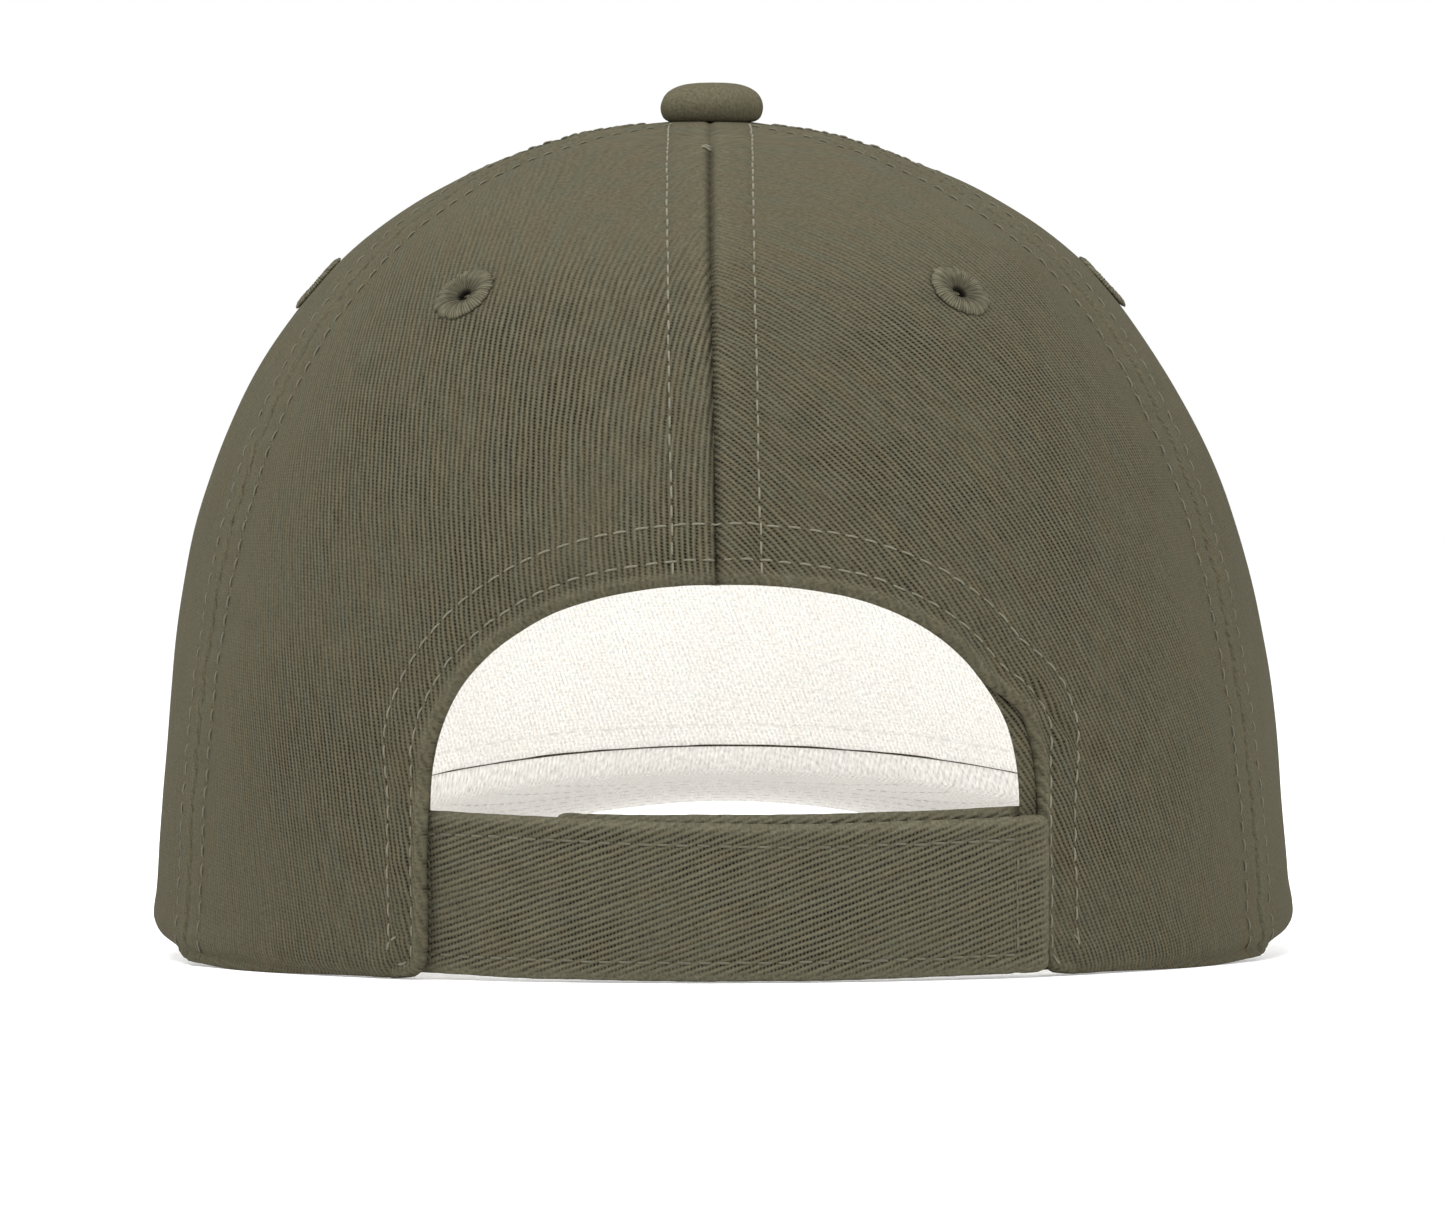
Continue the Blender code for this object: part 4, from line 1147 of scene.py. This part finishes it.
def strap_piece(strap):
    """A strap from its tip to its sewn root."""
    columns, rows = ((190, 46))
    run = np.linspace(0, 1, columns)[:, None]
    x = strap.tip + (strap.root - strap.tip) * blend(run, run ** 1.15, 0.6)
    share = np.linspace(0, 1, rows)
    share = blend(share, 0.5 - 0.5 * np.cos(math.pi * share), 0.45)
    inset = corner_inset(np.abs(x - strap.tip), TIP_CORNER)
    low, top = strap.heights(x)
    height = low + inset + (top - low - 2 * inset) * share
    wide = np.broadcast_to(x, height.shape)
    smooth, outer, normal, edge = strap_surface(strap, wide, height)
    piece = closed_cloth(f"strap_{strap.part}_cloth", outer, smooth - normal * STRAP_CLOTH, STRAP_TWILL,
                         rib_map(-wide, height, STRAP_RIB_TURN), wear=0.8 * bell(edge - 0.4 * MM, 0.7 * MM),
                         nap=0.7 * bell(edge - 0.3 * MM, 0.8 * MM))
    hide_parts(f"strap_{strap.part}", f"strap_{strap.part}_root")
    declare_sheet(smooth, allowance=2 * MM)
    blend_at_bend(piece, strap)


def strap_stitches(strap):
    """A row along each long edge of a strap and one across its tip."""
    sign = 1 if strap.root > strap.tip else -1
    first = strap.tip + sign * TIP_ROW
    x = np.linspace(first, strap.root - sign * 2 * MM, 400)
    low, top = strap.heights(x)
    up = np.linspace(float(low[0]) + STRAP_ROWS[1], float(top[0]) - STRAP_ROWS[0], 100)
    lines = [(x, top - STRAP_ROWS[0]), (x, low + STRAP_ROWS[1]), (np.full(100, first), up)]
    paths = [Path(*strap_surface(strap, *line)[1:3]) for line in lines]
    rows = [stitch_row(path, 80 + strap.seed + number) for number, path in enumerate(paths)]
    sewn = stitch_piece(f"stitches_strap_{strap.part}_cloth", rows, DULL_THREAD)
    blend_at_bend(sewn, strap)


def blend_at_bend(piece, strap):
    """Bake a piece's placing into its points; the ends of its bend are worked out but not used."""
    x = np.array(strap.bend)
    middle = np.full(2, (STRAP_LOW + STRAP_HIGH) / 2)
    start, end = to_model(band_place(x, middle, strap.depth_at(x))[0])
    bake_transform(piece)


def fastener(name, node, body, span, depth_at, thickness, material, hairy=0.0):
    """The base of one fastener tape on a strap."""
    levels = np.linspace(STRAP_LOW + FASTENER_MARGIN, STRAP_HIGH - FASTENER_MARGIN, 40)
    wide, high = np.meshgrid(np.linspace(*span, 120), levels, indexing="ij")
    smooth, normal = band_place(wide, high, depth_at(wide))
    rough = hairy * np.abs(lump(smooth, 0.9 * MM, 6))
    piece = closed_cloth(name, smooth + normal * rough[..., None], smooth - normal * thickness, material,
                         rib_map(-wide, high))
    sew_on(piece, node, node, body=body, grid=smooth)


def hook_tips():
    """Rows of small nylon hooks on the inner face of the hook tape."""
    pitch = HOOK_PITCH
    x = np.arange(HOOK_SPAN[0] + pitch, HOOK_SPAN[1] - pitch, pitch)
    levels = np.arange(STRAP_LOW + FASTENER_MARGIN + pitch, STRAP_HIGH - FASTENER_MARGIN - pitch / 2, pitch)
    line = np.linspace(x[0], x[-1], 300)
    rows = []
    for number, level in enumerate(levels):
        points, normal = band_place(line, np.full(300, level), hook_depth(line) + 0.4 * MM)
        path = Path(points, -normal)
        start = np.arange(0.2 * MM, path.length - pitch, pitch) + (number % 2) * pitch / 2
        rows.append(capsules(path, start, 0.8 * MM, 0.11 * MM,
                             lambda bend: 0.38 * MM * (1 - bend ** 2), np.zeros(len(start))))
    sew_on(stitch_piece("hook_tips", rows, NYLON), "hook_tape", body="upper_strap")


# ---- the opening's facing ----

def opening_facing():
    """The olive strip that backs the opening; it shows beside the folded right tail."""
    x_in, height_in = opening_outline(110, 300, beyond=0.35 * MM, folded=False)
    x_out, height_out = opening_outline(110, 300, beyond=FACING_WIDTH, folded=False)
    span = np.linspace(0, 1, 16)
    x = blend(x_in[:, None], x_out[:, None], span)
    height = np.maximum(blend(height_in[:, None], height_out[:, None], span), 0.8 * MM)
    phase, climb = back_place(x, height)
    bare = smoothstep((TAIL_SHIFT_HEIGHT - height) / (8 * MM)) * (x < 0)
    depth = FACING_DEPTH + 0.1 * MM - 0.75 * MM * ridge(span, 0.12, 0.25) * bare
    outer = crown_point(phase, climb, depth)
    piece = closed_cloth("opening_facing_cloth", outer, outer - outward(phase, climb) * 0.45 * MM, TWILL,
                         rib_map(-x, height, RIB_TURN + math.radians(15)), wear=0.5 * bell(span, 0.08))
    sew_on(piece, "olive_twill", "opening_facing", grid=outer, allowance=MM)


# ---- inside the crown ----

def finish_tape(name, points, normal, side):
    """Cotton tape over a seam's inner side, sewn down along both edges."""
    run = run_along(points)
    pucker = 0.08 * MM * wobble(run, 5 * MM, len("seam_tape_cloth_" + name)) * (1 - np.abs(side) ** 4)
    puffed = 0.12 * MM * (1 - side ** 2) - 0.14 * MM * bell(np.abs(side) - 0.8, 0.09)
    inner = points - normal * (0.5 * MM + puffed + pucker)[..., None]
    piece = closed_cloth("seam_tape_cloth_" + name, points, inner, TAPE,
                         rib_map(side * TAPE_WIDTH / 2, run))
    sew_on(piece, "seam_tape", "seam_tape_" + name, grid=points)
    last = points.shape[1] - 1
    columns = [int(round(share * last)) for share in (0.1, 0.9)]
    paths = [Path(inner[:, column], -normal[:, column]) for column in columns]
    stitches("stitches_seam_tape_cloth_" + name, paths, 140, NATURAL_THREAD, "seam_tape")


def seam_tape(name, number):
    seam = number * SIXTH
    lift = (11 if name.startswith("front") else 2) * MM
    low = float(climb_at(seam, rim_height(seam) + lift))
    climb = np.linspace(low, seam_top(seam, TAPE_WIDTH), 120)[:, None]
    side = np.linspace(-1, 1, 18)[None]
    phase = seam + side * TAPE_WIDTH / 2 / ring_radius(seam, climb)
    finish_tape(name, crown_point(phase, climb, TAPE_DEPTH), outward(phase, climb), side)


def centre_tape():
    """One tape from the front rim over the top to the rear opening's facing."""
    front = float(climb_at(HALF_TURN, FRONT_RISE + 11 * MM))
    back = float(climb_at(0.0, OPENING_HEIGHT + FACING_WIDTH + LINING_RISE))
    along = np.linspace(front, HALF_TURN - back, 260)[:, None]
    side = np.linspace(-1, 1, 18)[None]
    seam = np.where(along < TOP, HALF_TURN, 0.0)
    climb = np.minimum(np.where(along < TOP, along, HALF_TURN - along), TOP - 2e-3)
    normal = outward(seam, climb)
    aside = side * TAPE_WIDTH / 2
    points = outer_point(seam, climb) - (TAPE_DEPTH + aside ** 2 / (2 * TAPE_BOW_RADIUS))[..., None] * normal
    points[..., 0] = aside
    finish_tape("centre", points, np.broadcast_to(normal, points.shape), side)


def buckram(side):
    """Stiff white net behind each front panel."""
    first = PANELS["front_" + side] * SIXTH
    phase = first + SIXTH * np.linspace(0.012, 0.988, 70)
    low = climb_at(phase, rim_height(phase) + LINING_RISE)
    high = climb_near_axis(phase, 4 * APEX_HOLE_RADIUS)
    climb = blend(low, high, np.linspace(0, 1, 120)[:, None])
    phase = np.broadcast_to(phase, climb.shape)
    points = crown_point(phase, climb, BUCKRAM_DEPTH)
    eye = crown_point(first + SIXTH / 2, EYELET_CLIMB, BUCKRAM_DEPTH)
    moved, faces = punch(points, eye, 5.6 * MM)
    piece = closed_cloth("buckram_net_" + side, moved, moved - outward(phase, climb) * 0.5 * MM, NET,
                         rib_map(*cloth_place(phase, climb, first)), faces)
    sew_on(piece, "buckram", "buckram_" + side, grid=points)


def sweatband():
    """The cotton band inside the rim, bound along its top edge and sewn along both edges."""
    columns, rows = 420, 34
    end = float(back_place(OPENING_HALF_WIDTH + 3 * MM, STRAP_HIGH)[0])
    sweep = np.linspace(end, TAU - end, columns)[:, None]
    phase = np.where(sweep > HALF_TURN, sweep - TAU, sweep)
    height = np.linspace(0, 1, rows) * SWEATBAND_HEIGHT
    climb = climb_at(phase, rim_height(phase) + LINING_RISE + height)
    points, normal = crown_point(phase, climb, SWEATBAND_DEPTH), outward(phase, climb)
    run = run_along(points[:, 0])[:, None]
    top = SWEATBAND_HEIGHT - height
    binding = 0.3 * MM * ridge(top, 6 * MM, 0.5 * MM) - 0.16 * MM * bell(top - 4.8 * MM, 0.6 * MM)
    foot = -0.2 * MM * bell(height - 3 * MM, 0.7 * MM)
    pucker = 0.10 * MM * wobble(run + 0.15 * height, 9 * MM, 41)
    wave = 0.16 * MM * wobble(run - 0.3 * height, 31 * MM, 42)
    inner = points - normal * (0.75 * MM + binding + foot + pucker + wave)[..., None]
    piece = closed_cloth("sweatband_cloth", points, inner, BAND_TWILL, rib_map(run, height, RIB_TURN))
    sew_on(piece, "sweatband_twill", "sweatband", grid=points, allowance=3 * MM)
    levels = (3 * MM, SWEATBAND_HEIGHT - 4.8 * MM)
    at = [int(round(level / SWEATBAND_HEIGHT * (rows - 1))) for level in levels]
    paths = [Path(inner[:, row], -normal[:, row]) for row in at]
    stitches("stitches_sweatband", paths, 160, NATURAL_THREAD, "sweatband_twill")


def care_label():
    """A blank satin label, folded at its edges and sewn to the sweatband along its top."""
    top = LINING_RISE + SWEATBAND_HEIGHT - 2 * MM
    spread = LABEL_WIDTH / 2 / float(np.linalg.norm(outer_point(LABEL_PHASE, 0.0)[:2]))
    side, drop = np.linspace(-1, 1, 40)[:, None], np.linspace(0, 1, 48)[None]
    phase = LABEL_PHASE + side * spread
    climb = climb_at(phase, top - LABEL_LENGTH * drop)
    curl = 1.1 * MM * smoothstep(drop) * (0.6 + 0.4 * side) + 0.12 * MM * wobble(drop * 9 + side, 6, 2)
    points, normal = crown_point(phase, climb, LABEL_DEPTH + curl, False), outward(phase, climb, False)
    inner = points - normal * 0.3 * MM
    piece = closed_cloth("care_label_satin", points, inner, LABEL,
                         rib_map(side * LABEL_WIDTH / 2, drop * LABEL_LENGTH))
    sew_on(piece, "label_satin", "care_label", body="label", grid=points, allowance=1.5 * MM)
    path = Path(inner[:, LABEL_SEWN_ROW], -normal[:, LABEL_SEWN_ROW])
    stitches("stitches_care_label", [path], 170, NATURAL_THREAD, "label_satin", "label", pitch=2 * MM)


# ---- visor ----

def visor_surface(x, y):
    return FRONT_RISE + (y + CROWN_HALF_LENGTH) * VISOR_SLOPE - x * x / (2 * VISOR_BOW_RADIUS)


def visor_top(side, reach):
    """A place on the visor's top face: side runs -1 to 1, reach is 0 at the crown and 1 at the edge."""
    side, reach = np.broadcast_arrays(side, reach)
    phase = HALF_TURN - np.abs(side) * VISOR_SPREAD
    root = outer_point(phase, climb_at(phase, rim_height(phase)))
    angle = np.abs(side) * TOP
    power = 2 / VISOR_ROUNDNESS
    edge_x = VISOR_HALF_WIDTH * np.sin(angle) ** power
    edge_y = blend(VISOR_CORNER_Y, VISOR_FRONT_Y, np.maximum(np.cos(angle), 0) ** power)
    x, y = blend(root[..., 0], edge_x, reach), blend(root[..., 1], edge_y, reach)
    misfit = root[..., 2] - VISOR_GAP - visor_surface(root[..., 0], root[..., 1])
    height = visor_surface(x, y) + misfit * (1 - reach) ** 2
    return np.stack([np.where(side < 0, -x, x), y, height], -1)


VISOR_EDGE = Track(visor_top(np.linspace(-1, 1, 1500), 1.0))


def visor_normal(side, reach):
    step = 1e-3
    reach, side = np.clip(reach, step, 1 - step), np.clip(side, step - 1, 1 - step)
    out = visor_top(side, reach + step) - visor_top(side, reach - step)
    across = visor_top(side + step, reach) - visor_top(side - step, reach)
    return unit(np.cross(out, across))


def visor_thickness(side):
    """The visor's thickness, which closes at its two corners."""
    share = smoothstep((1 - np.abs(side)) / CORNER_SHARE)
    return VISOR_THICKNESS * blend(CORNER_THINNESS, 1, share)


def visor_sides(count):
    """Sides from one corner to the other, closer together near the corners."""
    share = np.linspace(-1, 1, count)[:, None]
    return blend(share, np.sin(share * TOP), 0.5)


def visor_relief(from_edge, from_crown, spot):
    """Height of a visor cover: sunk beside the crown and along its stitch rows."""
    high = -0.55 * MM * bell(from_crown - 0.2 * MM, 1.2 * MM)
    for row in VISOR_ROWS:
        high = high - VISOR_NEEDLE * bell(from_edge - row, 0.7 * MM)
    return high + 0.10 * MM * lump(spot, 22 * MM, 9)


def visor_tuck(side, top):
    """The seam allowance of a visor cover, from its top down, folded up inside the crown's front."""
    rise = np.linspace(1, 0, TUCK_ROWS)[None]
    phase = HALF_TURN - np.abs(side) * VISOR_SPREAD
    climb = climb_at(phase, rim_height(phase) + VISOR_FLANGE_HEIGHT * rise)
    points = crown_point(phase, climb, TAPE_DEPTH if top else TAPE_DEPTH + VISOR_CLOTH)
    normal = outward(phase, climb) * (1 if top else -1)
    mirror = np.where(side < 0, -1, 1)[..., None] * np.array([1, 0, 0]) + np.array([0, 1, 1])
    return points * mirror, normal * mirror


def visor_cover(name, node, top):
    """Cloth over one face of the visor, turned in round half of its rounded edge."""
    columns, across, round_edge = ((260, 90, 9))
    side = visor_sides(columns)
    radius = visor_thickness(side) / 2
    length = np.linalg.norm(visor_top(side, 1.0) - visor_top(side, 0.0), axis=-1)
    reach = (1 - radius / length) * np.linspace(0, 1, across)[None]
    flat, normal = visor_top(side, reach), visor_normal(side, reach)
    high = visor_relief(VISOR_EDGE.nearest(flat)[0], reach * length, flat)
    out = unit(flat[:, -1:] - flat[:, -2:-1])
    last = normal[:, -1:]
    centre = flat[:, -1:] - last * radius[..., None]
    turn = np.linspace(0, TOP, round_edge + 1)[None, 1:, None]
    arc_out = np.cos(turn) * last * (1 if top else -1) + np.sin(turn) * out
    if not top:
        flat, normal = flat - normal * 2 * radius[..., None], -normal
    arc = centre + arc_out * radius[..., None] * (1 - 0.10 * bell(turn - TOP, 0.28))
    tuck, tuck_normal = visor_tuck(side, top)
    normals = np.concatenate([tuck_normal, normal, arc_out], 1)
    outer = np.concatenate([tuck, flat + normal * high[..., None], arc], 1) - normals * 0.05 * MM
    edge = radius * (TOP - turn[..., 0])
    worn = 0.5 * bell(edge - 1.2 * MM, 1.6 * MM)
    wear = np.concatenate([np.zeros((columns, TUCK_ROWS + across)), worn], 1)
    piece = closed_cloth(name, outer, outer - normals * VISOR_CLOTH, VISOR_TWILL if top else BAND_TWILL,
                         rib_map(outer[..., 0], outer[..., 1], RIB_TURN), wear=wear)
    slot = "visor_twill" if top else "sweatband_twill"
    sew_on(piece, slot, node, grid=outer, allowance=2 * MM)


def visor_paths(top):
    """Paths side by side round the visor, each at one distance from its edge."""
    side, reach = visor_sides(240), np.linspace(0, 1, 120)
    distance = VISOR_EDGE.nearest(visor_top(side, reach))[0]
    paths = []
    for row in VISOR_ROWS:
        keep = distance[:, 0] > row + 1.5 * MM
        at = np.array([np.interp(-row, -line, reach) for line in distance[keep]])
        kept = side[keep, 0]
        points, normal = visor_top(kept, at), visor_normal(kept, at)
        high = visor_relief(np.full(len(at), row), np.full(len(at), 9 * MM), points)
        if not top:
            points, normal = points - normal * visor_thickness(kept)[:, None], -normal
        paths.append(Path(points + normal * (high - 0.05 * MM)[:, None], normal))
    return paths


def visor():
    visor_cover("visor_top_cloth", "visor_top_cover", True)
    visor_cover("visor_under_cloth", "visor_under_cover", False)
    stitches("stitches_visor_top", visor_paths(True), 180, THREAD)
    stitches("stitches_visor_under", visor_paths(False), 180, NATURAL_THREAD, "sweatband_twill")


# ---- making the cap ----

def better_materials():
    """CAD pieces whose shape is right keep it, with a finished surface."""
    for node, material in (("button_shell", METAL), ("button_post", METAL), ("button_washer", METAL),
                           ("visor_board", BOARD)):
        for slot in frame["nodes"][node].material_slots:
            slot.material = material


def make_cap():
    for name, number in PANELS.items():
        panel(name, number)
        eyelet(name, number)
    crown_stitches()
    bartack()
    button_cover()
    for strap in (UPPER_STRAP, LOWER_STRAP):
        strap_piece(strap)
        strap_stitches(strap)
    fastener("hook_tape_base", "hook_tape", "upper_strap", HOOK_SPAN, hook_depth, 0.38 * MM, HOOKS)
    hook_tips()
    fastener("loop_tape_pile", "loop_tape", "lower_strap", LOOP_SPAN, loop_face, 0.4 * MM, LOOPS, 0.6 * MM)
    opening_facing()
    for name, number in (("rear_left", 1), ("rear_right", -1), ("front_left", 2), ("front_right", -2)):
        seam_tape(name, number)
    centre_tape()
    buckram("left")
    buckram("right")
    sweatband()
    care_label()
    visor()
    better_materials()


# ---- floor, light and camera ----

def point_at(item, place, target, roll=0.0):
    item.location = place
    turn = (target - place).to_track_quat("-Z", "Y").to_matrix().to_4x4()
    item.rotation_euler = (turn @ Matrix.Rotation(roll, 4, "Z")).to_euler()


def camera():
    data = bpy.data.cameras.new("camera")
    data.lens, data.sensor_width = LENS, SENSOR
    item = new_object("camera", data)
    back = Vector((0, math.cos(CAMERA_RISE), math.sin(CAMERA_RISE)))
    point_at(item, CAP @ (TARGET + CAMERA_DISTANCE * back), CAP @ TARGET, CAMERA_ROLL)
    bpy.context.scene.camera = item


def area_light(name, place, target, size, watts):
    data = bpy.data.lights.new(name, "AREA")
    data.shape, data.size, data.energy = "DISK", size, watts
    point_at(new_object(name, data), Vector(place), Vector(target))


def studio():
    bpy.context.scene.view_settings.view_transform = "Standard"
    world = bpy.data.worlds.new("white_room")
    bpy.context.scene.world = world
    world.use_nodes = True
    background = world.node_tree.nodes["Background"]
    background.inputs["Color"].default_value = (1, 1, 1, 1)
    background.inputs["Strength"].default_value = WORLD_STRENGTH
    area_light("overhead", (0.25, 0.5, 1.5), (0, 0, 0.08), 1.2, OVERHEAD_WATTS)
    area_light("right_fill", (-1.5, 0.7, 0.2), (0, 0, 0.06), 0.8, RIGHT_WATTS)
    area_light("left_fill", (1.5, 0.7, 0.2), (0, 0, 0.06), 0.8, LEFT_WATTS)
    glow = bpy.data.lights.new("inside_glow", "POINT")
    glow.energy, glow.shadow_soft_size = INSIDE_WATTS, 0.02
    new_object("inside_glow", glow).location = CAP @ Vector((0, -0.02, 0.05))


def floor():
    """A wide pale floor, a little brighter than its light makes it, so that it meets the backdrop."""
    nodes = Nodes("pale_floor", roughness=0.9)
    nodes.finish((0.84, 0.84, 0.84), 1.0 + nodes.grain(300.0) * 0.02)
    nodes.put(nodes.shader.inputs["Emission Color"], (1, 1, 1, 1))
    nodes.put(nodes.shader.inputs["Emission Strength"], FLOOR_GLOW)
    mesh = bpy.data.meshes.new("floor")
    half = 12.0
    corners = [(-half, -half, 0), (half, -half, 0), (half, half, 0), (-half, half, 0)]
    mesh.from_pydata(corners, [], [(0, 1, 2, 3)])
    mesh.materials.append(nodes.material)
    new_object("floor", mesh)


make_cap()
camera()
studio()
floor()
